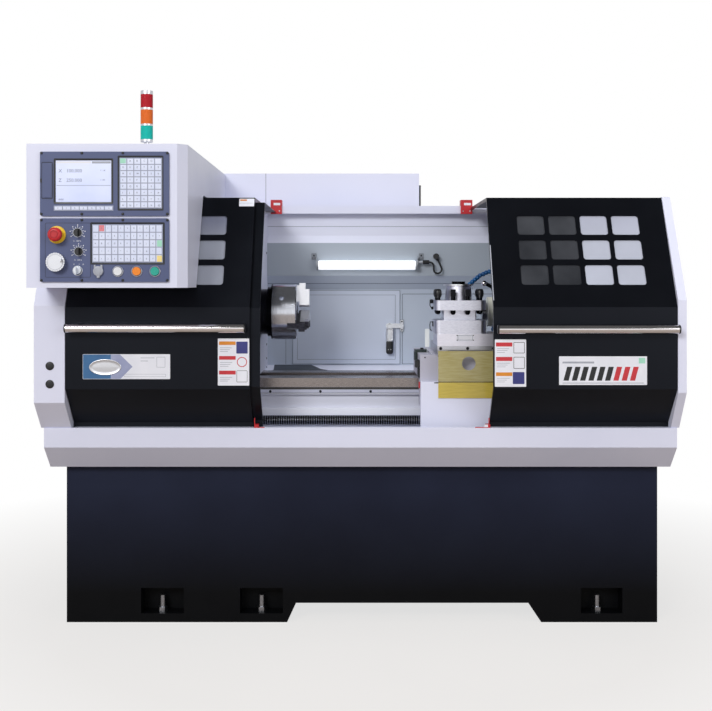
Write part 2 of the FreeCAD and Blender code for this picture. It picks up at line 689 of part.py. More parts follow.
def belt_face(top_r, bottom_r, x):
    """Face inside a loop pulled round the two pulleys."""
    reach = SPINDLE_Z - MOTOR_Z
    lean = math.asin((top_r - bottom_r) / reach)
    side, rise = math.cos(lean), math.sin(lean)

    def on(r, z, sign):
        return V(x, sign * r * side, z + r * rise)

    edges = [
        Part.LineSegment(on(bottom_r, MOTOR_Z, 1), on(top_r, SPINDLE_Z, 1)).toShape(),
        Part.Arc(on(top_r, SPINDLE_Z, 1), V(x, 0, SPINDLE_Z + top_r),
                 on(top_r, SPINDLE_Z, -1)).toShape(),
        Part.LineSegment(on(top_r, SPINDLE_Z, -1), on(bottom_r, MOTOR_Z, -1)).toShape(),
        Part.Arc(on(bottom_r, MOTOR_Z, -1), V(x, 0, MOTOR_Z - bottom_r),
                 on(bottom_r, MOTOR_Z, 1)).toShape(),
    ]
    return Part.Face(Part.Wire(edges))


def make_drive_belts():
    belts = []
    pitch = (PULLEY_X[1] - PULLEY_X[0]) / BELT_COUNT
    top_r = SPINDLE_PULLEY_R + SEAT_GAP
    bottom_r = MOTOR_PULLEY_R + SEAT_GAP
    for i in range(BELT_COUNT):
        x = PULLEY_X[0] + pitch * (i + 0.5) - BELT_W / 2
        run = V(BELT_W, 0, 0)
        outer = belt_face(top_r + BELT_T, bottom_r + BELT_T, x).extrude(run)
        inner = belt_face(top_r, bottom_r, x).extrude(run)
        belts.append(cut(outer, [inner]))
    return Part.makeCompound(belts)


def make_z_servo_motor():
    mouth = SCREW_SUPPORT_X[0]
    y = (Z_SCREW_Y - Z_MOTOR_HALF, Z_SCREW_Y + Z_MOTOR_HALF)
    z = (Z_SCREW_Z - Z_MOTOR_HALF, Z_SCREW_Z + Z_MOTOR_HALF)
    flange = cut(box((mouth - Z_FLANGE_T, mouth), y, z),
                 [rod_x(Z_SCREW_R + SCREW_GAP, (mouth - Z_FLANGE_T - 1, mouth + 1),
                        Z_SCREW_Y, Z_SCREW_Z)])
    body = box((mouth - Z_FLANGE_T - Z_MOTOR_LENGTH, mouth - Z_FLANGE_T),
               (y[0] + SERVO_STEP, y[1] - SERVO_STEP),
               (z[0] + SERVO_STEP, z[1] - SERVO_STEP))
    return fused([flange, body])


# ---- chuck -------------------------------------------------------------------------------
def turned(shape, count, index):
    """The shape turned about the spindle's axis to one of count equal places."""
    copy = shape.copy()
    copy.rotate(V(0, 0, SPINDLE_Z), V(1, 0, 0), 360.0 * index / count)
    return copy


def make_chuck_body():
    body = fused([
        rod_x(CHUCK_BACK_R, (SPINDLE_X[1], CHUCK_X[0] + 1), 0, SPINDLE_Z),
        rod_x(CHUCK_R, CHUCK_X, 0, SPINDLE_Z),
    ])
    rims = [e for e in body.Edges if abs(e.BoundBox.XMax - CHUCK_X[1]) < 0.01]
    body = body.makeChamfer(CHUCK_CHAMFER, rims)
    tools = [rod_x(CHUCK_BORE_R, (SPINDLE_X[1] - 1, CHUCK_X[1] + 1), 0, SPINDLE_Z)]
    slot = box((CHUCK_X[1] - JAW_SLOT_DEPTH, CHUCK_X[1] + 1),
               (-JAW_SLOT_W / 2, JAW_SLOT_W / 2), (SPINDLE_Z, SPINDLE_Z + CHUCK_R + 1))
    key = rod_z(CHUCK_KEY_R, (SPINDLE_Z + CHUCK_R - CHUCK_KEY_DEPTH, SPINDLE_Z + CHUCK_R + 1),
                CHUCK_X[0] + CHUCK_KEY_X, 0)
    for i in range(JAW_COUNT):
        tools.append(turned(slot, JAW_COUNT, i))
        tools.append(turned(key, JAW_COUNT, i + 0.5))
    return cut(body, tools)


def make_jaw(index):
    half = JAW_W / 2
    tip = JAW_TIP_W / 2
    foot = JAW_SLOT_W / 2 - SLIDE_FIT
    low, high = SPINDLE_Z + JAW_R[0], SPINDLE_Z + JAW_R[1]
    shoulder = low + (half - tip) / math.tan(math.pi / JAW_COUNT)
    block = prism_x([(-tip, low), (tip, low), (half, shoulder), (half, high), (-half, high),
                     (-half, shoulder)], JAW_BLOCK_X)
    rail = box((CHUCK_X[1] - JAW_SLOT_DEPTH + SEAT_GAP, JAW_BLOCK_X[0] + 1), (-foot, foot),
               (low + JAW_W / 2, high - JAW_RAIL_IN))
    step = box((JAW_BLOCK_X[1] - JAW_STEP[0], JAW_BLOCK_X[1] + 1), (-half - 1, half + 1),
               (high - JAW_STEP[1], high + 1))
    return turned(cut(fused([block, rail]), [step]), JAW_COUNT, index)


# ---- feed screws and carriage ------------------------------------------------------------
def make_z_ball_screw():
    return rod_x(Z_SCREW_R, Z_SCREW_X, Z_SCREW_Y, Z_SCREW_Z)


def make_saddle():
    top = box(SADDLE_X, SADDLE_Y, (WAY_TOP + SLIDE_FIT, SADDLE_TOP))
    front = box(SADDLE_X, (SADDLE_Y[0], -BED_HALF - SHEET), (SADDLE_SKIRT, SADDLE_TOP))
    back = box(SADDLE_X, (BED_HALF + SHEET, SADDLE_Y[1]), (WAY_BOTTOM, SADDLE_TOP))
    nut = box(Z_NUT_X, (SADDLE_Y[0], -BED_HALF - SHEET),
              (Z_SCREW_Z - 2 * Z_SCREW_R, SADDLE_SKIRT + 1))
    dovetail = prism_y(
        [(DOVETAIL_NECK[0], SADDLE_TOP - 1), (DOVETAIL_NECK[1], SADDLE_TOP - 1),
         (DOVETAIL_NECK[1], SADDLE_TOP), (DOVETAIL_TOP[1], DOVETAIL_Z),
         (DOVETAIL_TOP[0], DOVETAIL_Z), (DOVETAIL_NECK[0], SADDLE_TOP)], SADDLE_Y)
    trough = box((X_SCREW_X - TROUGH_HALF, X_SCREW_X + TROUGH_HALF),
                 (SADDLE_Y[0] + BASE_WALL, SADDLE_Y[1] + 1), (TROUGH_BOTTOM, DOVETAIL_Z + 1))
    x_bore = rod_y(X_SCREW_R + SCREW_GAP, (SADDLE_Y[0] + SCREW_POCKET, SADDLE_Y[0] + BASE_WALL + 1),
                   X_SCREW_X, X_SCREW_Z)
    z_bore = rod_x(Z_SCREW_R + SCREW_GAP, (SADDLE_X[0], SADDLE_X[1]), Z_SCREW_Y, Z_SCREW_Z)
    return cut(fused([top, front, back, nut, dovetail]), [trough, x_bore, z_bore])


def make_x_ball_screw():
    y = (SADDLE_Y[0] + SCREW_POCKET + SCREW_END_GAP, SADDLE_Y[1] - SCREW_END_GAP)
    return rod_y(X_SCREW_R, y, X_SCREW_X, X_SCREW_Z)


def make_apron_cover():
    shell = box(SADDLE_X, (APRON_FRONT, SADDLE_Y[0]), APRON_Z)
    hollow = box((SADDLE_X[0] + SHEET, SADDLE_X[1] - SHEET),
                 (APRON_FRONT + SHEET, SADDLE_Y[0] + 1),
                 (APRON_Z[0] + SHEET, APRON_Z[1] - SHEET))
    return cut(shell, [hollow])


def make_way_guard():
    plate = box(GUARD_X, (APRON_FRONT - SHEET, APRON_FRONT), GUARD_Z)
    hole = rod_y(GUARD_HOLE_R, (APRON_FRONT - SHEET - 1, APRON_FRONT + 1), *GUARD_HOLE)
    return cut(plate, [hole])


def make_x_servo_motor():
    x = (X_SCREW_X - X_MOTOR_HALF, X_SCREW_X + X_MOTOR_HALF)
    z = (X_SCREW_Z - X_MOTOR_HALF, X_SCREW_Z + X_MOTOR_HALF)
    seat = SADDLE_Y[1] + X_FLANGE_T
    flange = box(x, (SADDLE_Y[1], seat), z)
    body = box((x[0] + SERVO_STEP, x[1] - SERVO_STEP), (seat, seat + X_MOTOR_LENGTH),
               (z[0] + SERVO_STEP, z[1] - SERVO_STEP))
    return fused([flange, body])


def make_cross_slide():
    plate = box(SLIDE_X, SLIDE_Y, (SADDLE_TOP + SLIDE_FIT, SLIDE_TOP))
    fit = SLIDE_FIT
    groove = prism_y(
        [(DOVETAIL_NECK[0] - fit, SADDLE_TOP - 1), (DOVETAIL_NECK[1] + fit, SADDLE_TOP - 1),
         (DOVETAIL_NECK[1] + fit, SADDLE_TOP), (DOVETAIL_TOP[1] + fit, DOVETAIL_Z + fit),
         (DOVETAIL_TOP[0] - fit, DOVETAIL_Z + fit), (DOVETAIL_NECK[0] - fit, SADDLE_TOP)],
        (SLIDE_Y[0] - 1, SLIDE_Y[1] + 1))
    nut = box((X_SCREW_X - NUT_HALF, X_SCREW_X + NUT_HALF), (-NUT_HALF, NUT_HALF),
              (X_SCREW_Z - NUT_HALF, DOVETAIL_Z + NUT_SINK))
    bore = rod_y(X_SCREW_R + SCREW_GAP, (-NUT_HALF - 1, NUT_HALF + 1), X_SCREW_X, X_SCREW_Z)
    return cut(fused([cut(plate, [groove]), nut]), [bore])


# ---- turret ------------------------------------------------------------------------------
def make_turret_base():
    block = box(TURRET_BASE_X, TURRET_BASE_Y, (SLIDE_TOP, TURRET_BASE_TOP))
    step = box((TURRET_BASE_X[0] - 1, TURRET_BASE_X[1] + 1),
               (TURRET_BASE_Y[0] - 1, TURRET_BASE_Y[0] + TURRET_BASE_STEP),
               (SLIDE_TOP + TURRET_BASE_LIP, TURRET_BASE_TOP + 1))
    return cut(block, [step])


def square(side, r, z):
    half = side / 2
    return rounded_block((TURRET[0] - half, TURRET[0] + half),
                         (TURRET[1] - half, TURRET[1] + half), r, z)


def clamp_places():
    """Centres of the clamp screws: two along each side of the head."""
    places = []
    for turn in range(4):
        c, s = round(math.cos(math.pi / 2 * turn)), round(math.sin(math.pi / 2 * turn))
        for along in (-CLAMP_OFFSET, CLAMP_OFFSET):
            places.append((TURRET[0] + c * CLAMP_REACH - s * along,
                           TURRET[1] + s * CLAMP_REACH + c * along))
    return places


def make_turret_head():
    low, slot_top, plate_top, hub_top = TURRET_LEVELS
    base_z = TURRET_BASE_TOP + SLIDE_FIT
    hub = Part.makeCone(HUB_R[0], HUB_R[1], hub_top - plate_top + 1,
                        V(TURRET[0], TURRET[1], plate_top - 1), V(0, 0, 1))
    parts = [
        square(TURRET_SIDE, TURRET_R, (base_z, low)),
        square(TURRET_CORE, TURRET_CORE_R, (low - 1, slot_top + 1)),
        square(TURRET_SIDE, TURRET_R, (slot_top, plate_top)),
        hub,
        rod_z(HUB_PLATE_R, (hub_top, hub_top + SHEET), *TURRET),
        rod_z(HUB_R[0] / 2, (hub_top + 1, hub_top + TURRET_CAP_RISE), *TURRET),
    ]
    holes = [rod_z(CLAMP_R + RUN_FIT, (slot_top - 1, plate_top + 1), x, y)
             for x, y in clamp_places()]
    return cut(fused(parts), holes)


def make_turret_screws():
    screws = []
    half = CLAMP_HEAD / 2
    for x, y in clamp_places():
        shank = rod_z(CLAMP_R, (CLAMP_Z[0], CLAMP_Z[1] + 1), x, y)
        head = box((x - half, x + half), (y - half, y + half), (CLAMP_Z[1], CLAMP_Z[2]))
        collar = rod_z(CLAMP_COLLAR_R, (TURRET_LEVELS[2], CLAMP_Z[1] + 1), x, y)
        screws.append(fused([shank, collar, head]))
    return Part.makeCompound(screws)


def along_route(points, pitch):
    """Points a pitch apart along straight runs through the given points."""
    out, left = [points[0]], pitch
    for a, b in zip(points, points[1:]):
        run = math.dist(a, b)
        t = left
        while t <= run:
            out.append((a[0] + (b[0] - a[0]) * t / run, a[1] + (b[1] - a[1]) * t / run))
            t += pitch
        left = t - run
    return out


def make_coolant_hose():
    beads = [Part.makeSphere(HOSE_R, V(x, HOSE_Y, z))
             for x, z in along_route(HOSE_POINTS, HOSE_PITCH)]
    foot = rod_z(HOSE_FOOT_R, (SADDLE_TOP, HOSE_POINTS[0][1]), HOSE_POINTS[0][0], HOSE_Y)
    return beads[0].multiFuse(beads[1:] + [foot])


# ---- tailstock ---------------------------------------------------------------------------
def make_tailstock_body():
    base = box(TAIL_X, (-TAIL_HALF, TAIL_HALF), (WAY_TOP + SLIDE_FIT, TAIL_BASE_TOP))
    web = prism_x(
        [(-TAIL_WEB_HALF, TAIL_BASE_TOP - 1), (TAIL_WEB_HALF, TAIL_BASE_TOP - 1),
         (BARREL_R - TAIL_WEB_SINK, SPINDLE_Z), (TAIL_WEB_SINK - BARREL_R, SPINDLE_Z)],
        (TAIL_X[0] + TAIL_WEB_IN[0], BARREL_X[1] - TAIL_WEB_IN[1]))
    barrel = rod_x(BARREL_R, BARREL_X, 0, SPINDLE_Z)
    bore = rod_x(QUILL_R + RUN_FIT, (BARREL_X[0] - 1, QUILL_BORE_END), 0, SPINDLE_Z)
    shaft_bore = rod_x(WHEEL_SHAFT_R + RUN_FIT, (QUILL_BORE_END - 1, BARREL_X[1] + 1),
                       0, SPINDLE_Z)
    return cut(fused([base, web, barrel]), [bore, shaft_bore])


def make_tailstock_quill():
    quill = rod_x(QUILL_R, QUILL_X, 0, SPINDLE_Z)
    taper = Part.makeCone(TAPER_R[0], TAPER_R[1], TAPER_DEPTH,
                          V(QUILL_X[0], 0, SPINDLE_Z), V(1, 0, 0))
    return cut(quill, [taper])


def make_tailstock_handwheel():
    start = BARREL_X[1] + SEAT_GAP
    hub = rod_x(WHEEL_HUB_R, (start, start + WHEEL_HUB_T), 0, SPINDLE_Z)
    shaft = rod_x(WHEEL_SHAFT_R, (QUILL_BORE_END + SHAFT_END_GAP, start + 1), 0, SPINDLE_Z)
    middle = start + WHEEL_HUB_T / 2
    rim = Part.makeTorus(WHEEL_R, WHEEL_RIM_R, V(middle, 0, SPINDLE_Z), V(1, 0, 0))
    spokes = []
    for i in range(WHEEL_SPOKES):
        spoke = rod_z(SPOKE_R, (SPINDLE_Z + WHEEL_SHAFT_R, SPINDLE_Z + WHEEL_R),
                      middle, 0)
        spokes.append(turned(spoke, WHEEL_SPOKES, i))
    grip = rod_x(WHEEL_GRIP_R, (middle, middle + WHEEL_GRIP), WHEEL_R, SPINDLE_Z)
    return fused([hub, shaft, rim, grip] + spokes)


# ---- covers, wall and beam ---------------------------------------------------------------
def make_left_cover():
    outer_x = (-HALF_LENGTH, LEFT_COVER_IN)
    step_x = (LEFT_COVER_IN - SHEET, LEFT_COVER_IN)
    profile = cover_profile(LEFT_COVER_BENDS)
    outside = closed_region(profile, TRAY_TOP)
    doorway = closed_region(inset(guard_profile(), SHEET), TRAY_TOP)
    skin = folded(profile, SHEET, outer_x)
    end_wall = prism_x(outside, (outer_x[0], outer_x[0] + SHEET))
    step_wall = cut(prism_x(outside, step_x),
                    [prism_x(doorway, (step_x[0] - 1, step_x[1] + 1))])
    back = box(outer_x, (TRAY_REAR - SHEET, TRAY_REAR), (TRAY_TOP, COVER_TOP))
    rim_gap = box((TRAY_X[0] - 1, outer_x[1] + 1), (COVER_FOOT_Y, TRAY_REAR + 1),
                  (BASE_TOP, TRAY_TOP))
    bar_hole = rod_x(BAR_HOLE_R, (outer_x[0] - 1, outer_x[0] + SHEET + 1), 0, SPINDLE_Z)
    shell = cut(fused([skin, end_wall, step_wall, back]), [rim_gap, bar_hole])
    plugs = [rod_y(PLUG_R, (COVER_FRONT - PLUG_RISE, COVER_FRONT + SHEET), PLUG_X, z)
             for z in PLUG_Z]
    return fused([shell] + plugs)


def make_left_guard():
    """Inner guard round the headstock, butted against the left cover's step wall."""
    floor_z = BASE_TOP + TRAY_SHEET
    wall_x = (GUARD_END - SHEET, GUARD_END)
    through_x = (wall_x[0] - 1, wall_x[1] + 1)
    guard = folded(guard_profile(), SHEET, (LEFT_COVER_IN, GUARD_END))
    nose_wall = prism_x(closed_region(guard_profile(), GUARD_FOOT), wall_x)
    back = box((LEFT_COVER_IN, GUARD_END), (TRAY_REAR - SHEET, TRAY_REAR),
               (TRAY_TOP, guard_profile()[0][1]))
    bed_gap = box(through_x, (-BED_HALF - 1, BED_HALF + 1), (floor_z - 1, WAY_TOP + 1))
    screw_gap = box(through_x, (Z_SCREW_Y - 2 * Z_SCREW_R, -BED_HALF),
                    (floor_z - 1, BAND_Z[1] + BAND_CLEAR))
    wall_gap = box(through_x, (TRAY_REAR - TRAY_SHEET - SEAT_GAP, TRAY_REAR + 1),
                   (BASE_TOP, TRAY_TOP))
    nose_hole = rod_x(NOSE_HOLE_R, through_x, 0, SPINDLE_Z)
    return cut(fused([guard, nose_wall, back]), [bed_gap, screw_gap, wall_gap, nose_hole])


def make_right_cover():
    outer_x = (RIGHT_COVER_IN - SHEET, HALF_LENGTH)
    profile = cover_profile(RIGHT_COVER_BENDS)
    outside = closed_region(profile, TRAY_TOP)
    skin = folded(profile, SHEET, outer_x)
    end_wall = prism_x(outside, (HALF_LENGTH - SHEET, HALF_LENGTH))
    step_wall = prism_x(outside, (outer_x[0], RIGHT_COVER_IN))
    back = box(outer_x, (TRAY_REAR - SHEET, TRAY_REAR), (TRAY_TOP, COVER_TOP))
    guard_line = inset(DOOR_PROFILE, GUARD_INSET)
    guard = folded(guard_line[1:], SHEET, (RIGHT_GUARD_X, RIGHT_COVER_IN))
    return fused([skin, end_wall, step_wall, back, guard])


def make_rear_wall():
    floor_z = BASE_TOP + TRAY_SHEET
    profile = [
        (WALL_TOP_Y, BEAM_Z[1]), (WALL_TOP_Y, WALL_FOLDS[0]), (WALL_LAMP_Y, WALL_FOLDS[1]),
        (WALL_LAMP_Y, WALL_FOLDS[2]), (WALL_Y, WALL_FOLDS[3]), (WALL_Y, SHELF_Z[0]),
        (SHELF_FRONT, SHELF_Z[1]), (SHELF_FRONT, floor_z),
    ]
    wall = folded(profile, SHEET, (GUARD_END, RIGHT_COVER_IN - SHEET))
    hatch = box((HATCH_X[0] + HATCH_LAP, HATCH_X[1] - HATCH_LAP), (WALL_Y - 1, WALL_Y + SHEET + 1),
                (HATCH_Z[0] + HATCH_LAP, HATCH_Z[1] - HATCH_LAP))
    keeper = box((HATCH_X[1] + KEEPER_X[0], HATCH_X[1] + KEEPER_X[1]), (WALL_Y - SHEET, WALL_Y + 1),
                 (LATCH_Z - KEEPER_HALF, LATCH_Z + KEEPER_HALF))
    return fused([cut(wall, [hatch]), keeper])


def make_service_door():
    plate = box(HATCH_X, (WALL_Y - SHEET, WALL_Y), HATCH_Z)
    boss = box((LATCH_X - BOSS_HALF, LATCH_X + BOSS_HALF), (WALL_Y - 2 * SHEET, WALL_Y - SHEET + 1),
               (LATCH_Z - LATCH_LEVER, LATCH_Z + BOSS_RISE))
    return fused([plate, boss])


def make_latch_handle():
    back = WALL_Y - 2 * SHEET - SEAT_GAP
    bar = rounded_plate((LATCH_X + LATCH_BAR[0], LATCH_X + LATCH_BAR[1]),
                        (LATCH_Z - LATCH_BAR_HALF, LATCH_Z + LATCH_BAR_HALF), LATCH_BAR_R,
                        (back - LATCH_BAR_T, back))
    pivot = rod_y(PIVOT_R, (back - PIVOT_T, back - 1), LATCH_X, LATCH_Z)
    lever = box((LATCH_X - LEVER_HALF, LATCH_X + LEVER_HALF),
                (back - LEVER_Y[0], back - LEVER_Y[1]),
                (LATCH_Z - LATCH_LEVER, LATCH_Z + LEVER_RISE))
    return fused([bar, pivot, lever])


def make_door_beam():
    return box((LEFT_COVER_IN, RIGHT_COVER_IN - SHEET), BEAM_Y, BEAM_Z)


def make_door_switches():
    pieces = []
    for x in SWITCH_X:
        front = box(x, (SWITCH_FRONT, BEAM_Y[0]), (SWITCH_BOTTOM, SWITCH_TOP))
        top = box(x, (BEAM_Y[0] - 1, BEAM_Y[1]), (BEAM_Z[1], SWITCH_TOP))
        pieces.append(fused([front, top]))
    for x in STOP_X:
        pieces.append(box(x, (TRAY_FRONT, DOOR_FOOT_Y - SHEET),
                          (TRAY_TOP, TRAY_TOP + STOP_HEIGHT)))
    return Part.makeCompound(pieces)


# ---- sliding doors -----------------------------------------------------------------------
def on_slope(shape):
    """Puts a shape drawn flat, with X along the door and Y up its slope, on the slope.

    Its Z = 0 is the door's outer face and +Z points out of the door.
    """
    run = math.hypot(DOOR_BROW - DOOR_FRONT, DOOR_TOP - DOOR_BEND)
    tilt = math.degrees(math.asin((DOOR_TOP - DOOR_BEND) / run))
    shape.Placement = FreeCAD.Placement(
        V(0, DOOR_FRONT, DOOR_BEND), FreeCAD.Rotation(V(1, 0, 0), tilt))
    return shape


def up_slope(z):
    """Distance up the slope at which the door's face has the height z."""
    run = math.hypot(DOOR_BROW - DOOR_FRONT, DOOR_TOP - DOOR_BEND)
    return (z - DOOR_BEND) * run / (DOOR_TOP - DOOR_BEND)


def pane_rows():
    """Low and high Z of each row of windows that fits on the slope, from the top down."""
    rows, top = [], DOOR_TOP - PANE_TOP
    while top - PANE_H >= DOOR_BEND + PANE_SILL:
        rows.append((top - PANE_H, top))
        top -= PANE_RISE
    return rows


def pane_columns(door_x, first_x, step):
    """Columns of windows that fit between the first one and the door's far end."""
    room = door_x[1] - first_x if step > 0 else first_x - door_x[0]
    return int((room - PANE_EDGE + PANE_PITCH - PANE_W) // PANE_PITCH)


def pane_holes(door_x, first_x, step):
    holes = []
    for column in range(pane_columns(door_x, first_x, step)):
        x = first_x + step * PANE_PITCH * column
        span = (x, x + PANE_W) if step > 0 else (x - PANE_W, x)
        for low, high in pane_rows():
            block = rounded_block(span, (up_slope(low), up_slope(high)), PANE_R,
                                  (-SHEET - 1, 1))
            holes.append(on_slope(block))
    return holes


def make_panes(door_x, first_x, step):
    rows = pane_rows()
    reach = PANE_PITCH * (pane_columns(door_x, first_x, step) - 1) + PANE_W
    far = first_x + step * reach
    x = (min(first_x, far) - PANE_FRAME, max(first_x, far) + PANE_FRAME)
    y = (up_slope(rows[-1][0]) - PANE_FRAME, up_slope(rows[0][1]) + PANE_FRAME)
    return on_slope(rounded_block(x, y, PANE_R, (-SHEET - PANE_SHEET, -SHEET)))


def handle_post_places(x, z):
    return [(x[0] + HANDLE_POST_INSET, z), ((x[0] + x[1]) / 2, z), (x[1] - HANDLE_POST_INSET, z)]


def make_left_door():
    skin = folded(DOOR_PROFILE, SHEET, LEFT_DOOR_X)
    outer_end = folded(DOOR_PROFILE, DOOR_FLANGE, (LEFT_DOOR_X[0], LEFT_DOOR_X[0] + SHEET))
    inner_end = folded(DOOR_PROFILE, LAP_SETBACK + SHEET,
                       (LEFT_DOOR_X[1] - SHEET, LEFT_DOOR_X[1]))
    lap = folded(inset(DOOR_PROFILE, LAP_SETBACK), SHEET,
                 (LEFT_DOOR_X[1] - SHEET, LEFT_DOOR_X[1] + LAP_WIDTH))
    return cut(fused([skin, outer_end, inner_end, lap]), pane_holes(LEFT_DOOR_X, LEFT_PANE_X, -1))


def make_right_door():
    skin = folded(DOOR_PROFILE, SHEET, RIGHT_DOOR_X)
    ends = [folded(DOOR_PROFILE, DOOR_FLANGE, (RIGHT_DOOR_X[0], RIGHT_DOOR_X[0] + SHEET)),
            folded(DOOR_PROFILE, DOOR_FLANGE, (RIGHT_DOOR_X[1] - SHEET, RIGHT_DOOR_X[1]))]
    return cut(fused([skin] + ends), pane_holes(RIGHT_DOOR_X, RIGHT_PANE_X, 1))


def make_handle(x, z):
    bar_y = DOOR_FRONT - HANDLE_GAP - HANDLE_R
    bar = rod_x(HANDLE_R, x, bar_y, z)
    posts = [rod_y(HANDLE_POST_R, (bar_y, DOOR_FRONT), px, pz)
             for px, pz in handle_post_places(x, z)]
    return fused([bar] + posts)


# ---- cabinet -----------------------------------------------------------------------------
def make_electrical_cabinet():
    door_y = REAR_REACH - SHEET
    shell = box(CABINET_X, (CABINET_FRONT, door_y), CABINET_Z)
    hollow = box((CABINET_X[0] + SHEET, CABINET_X[1] - SHEET),
                 (CABINET_FRONT + SHEET, door_y + 1),
                 (CABINET_Z[0] + SHEET, CABINET_Z[1] - SHEET))
    vents = []
    for i in range(VENT_ROWS):
        z = CABINET_Z[1] - VENT_TOP - VENT_PITCH * i
        vents.append(box((CABINET_X[1] - SHEET - 1, CABINET_X[1] + 1),
                         (CABINET_FRONT + VENT_SIDE, door_y - VENT_SIDE), (z - VENT_HEIGHT, z)))
    arm_seat = []
    for z in hinge_heights():
        seat_z = (z - HINGE_LENGTH - HINGE_SEAT, z - HINGE_LENGTH)
        arm_seat.append(box((CABINET_X[0] - HINGE_OUT[0] - HINGE_LEAF, CABINET_X[0] + 1),
                            (door_y - HINGE_ARM[0], door_y - HINGE_ARM[1]), seat_z))
        arm_seat.append(rod_z(CABINET_HINGE_R, seat_z, *hinge_axis()))
    return fused([cut(shell, [hollow] + vents)] + arm_seat)


def hinge_heights():
    rise = (CABINET_Z[1] - CABINET_Z[0]) * HINGE_SHARE
    return (CABINET_Z[0] + rise, CABINET_Z[1] - rise)


def hinge_axis():
    return (CABINET_X[0] - HINGE_OUT[0], REAR_REACH - SHEET - HINGE_OUT[1])


def make_cabinet_door():
    plate = box(CABINET_X, (REAR_REACH - SHEET, REAR_REACH), CABINET_Z)
    x, y = hinge_axis()
    hinges = []
    for z in hinge_heights():
        barrel_z = (z - HINGE_LENGTH + SEAT_GAP, z)
        hinges.append(rod_z(CABINET_HINGE_R, barrel_z, x, y))
        hinges.append(box((x, CABINET_X[0] + 1),
                          (REAR_REACH - SHEET, REAR_REACH - SHEET + HINGE_LEAF), barrel_z))
    return fused([plate] + hinges)


# ---- control housing ---------------------------------------------------------------------
def housing_solid(shrink):
    """Housing with every wall moved in by shrink."""
    x = (HOUSING_X[0] + shrink, HOUSING_X[1] - shrink)
    front, back = HOUSING_FACE + shrink, CABINET_FRONT - shrink
    z = (HOUSING_Z[0] + shrink, HOUSING_Z[1] - shrink)
    block = box(x, (front, back), z)
    under = inset(DOOR_PROFILE, -HOUSING_GAP - shrink)
    room = [(CABINET_FRONT + 1, under[0][1])] + under[1:4]
    room += [(room[-1][0], z[0] - 1), (CABINET_FRONT + 1, z[0] - 1)]
    away = prism_x(room, (x[0] - 1, x[1] + 1))
    corner = HOUSING_CHAMFER
    points = [V(x[1] - corner, front - 1, z[0] - 1), V(x[1] + 1, front - 1, z[0] - 1),
              V(x[1] + 1, front + corner, z[0] - 1), V(x[1] - corner, front - 0.001, z[0] - 1)]
    wedge = Part.Face(Part.makePolygon(points + points[:1])).extrude(V(0, 0, z[1] - z[0] + 2))
    return cut(block, [away, wedge])


def make_control_housing():
    windows = []
    for z in (UPPER_PANEL_Z, LOWER_PANEL_Z):
        windows.append(box((PANEL_X[0] + PANEL_LAP, PANEL_X[1] - PANEL_LAP),
                           (HOUSING_FACE - 1, HOUSING_FACE + SHEET + 1),
                           (z[0] + PANEL_LAP, z[1] - PANEL_LAP)))
    return cut(housing_solid(0), [housing_solid(SHEET)] + windows)


def panel_y():
    return (HOUSING_FACE - PANEL_T, HOUSING_FACE)


def stem_hole(place):
    y = panel_y()
    return rod_y(STEM_R + RUN_FIT, (y[0] - STOP_RING_RISE - 1, y[1] + 1), *place)


def control_places():
    buttons = [(x, BUTTON_Z) for x in BUTTON_X.values()]
    return [STOP_BUTTON, DIAL, FEED_SELECTOR, SPEED_SELECTOR, KEY_SWITCH] + buttons


def make_control_panels():
    y = panel_y()
    upper = rounded_plate(PANEL_X, UPPER_PANEL_Z, PANEL_R, y)
    well = box(SCREEN_X, (y[0] - 1, y[0] + SCREEN_DEPTH), SCREEN_Z)
    slot = rounded_plate(SLOT_X, SLOT_Z, SLOT_R, (y[0] - SLOT_RISE, y[0] + 1))
    upper = fused([cut(upper, [well]), slot])
    lower = rounded_plate(PANEL_X, LOWER_PANEL_Z, PANEL_R, y)
    rings = [rod_y(STOP_RING_R, (y[0] - STOP_RING_RISE, y[0] + 1), *STOP_BUTTON)]
    for x in BUTTON_X.values():
        collar = rod_y(BUTTON_RING_R, (y[0] - BUTTON_RING_RISE, y[0] + 1), x, BUTTON_Z)
        well_face = rod_y(BUTTON_R + SEAT_GAP, (y[0] - BUTTON_RING_RISE - 1, y[0]), x, BUTTON_Z)
        rings.append(cut(collar, [well_face]))
    port = rounded_plate((PORT_X - PORT_HALF[0], PORT_X + PORT_HALF[0]),
                         (BUTTON_Z - PORT_HALF[1], BUTTON_Z + PORT_HALF[1]), PORT_R,
                         (y[0] - PORT_RISE, y[0] + 1))
    lower = fused([lower, port] + rings)
    return Part.makeCompound([upper, cut(lower, [stem_hole(p) for p in control_places()])])


def make_screen():
    y = panel_y()[0] + SCREEN_DEPTH
    return box(SCREEN_X, (y - SCREEN_T, y), SCREEN_Z)


def key_field(x, z, columns, rows):
    """Plate with a grid of low keys on it."""
    face = panel_y()[0]
    plate = box(x, (face - KEY_PLATE, face), z)
    pitch_x = (x[1] - x[0] - KEY_GAP) / columns
    pitch_z = (z[1] - z[0] - KEY_GAP) / rows
    keys = []
    for column in range(columns):
        for row in range(rows):
            kx = x[0] + KEY_GAP + pitch_x * column
            kz = z[0] + KEY_GAP + pitch_z * row
            keys.append(box((kx, kx + pitch_x - KEY_GAP),
                            (face - KEY_PLATE - KEY_RISE, face - KEY_PLATE + KEY_SINK),
                            (kz, kz + pitch_z - KEY_GAP)))
    return plate.multiFuse(keys)


def make_keypads():
    return Part.makeCompound([
        key_field(KEYS_UPPER_X, KEYS_UPPER_Z, *KEY_COUNTS[0]),
        key_field(KEYS_LOWER_X, KEYS_LOWER_Z, *KEY_COUNTS[1]),
        key_field(SOFT_KEYS_X, SOFT_KEYS_Z, *KEY_COUNTS[2]),
    ])


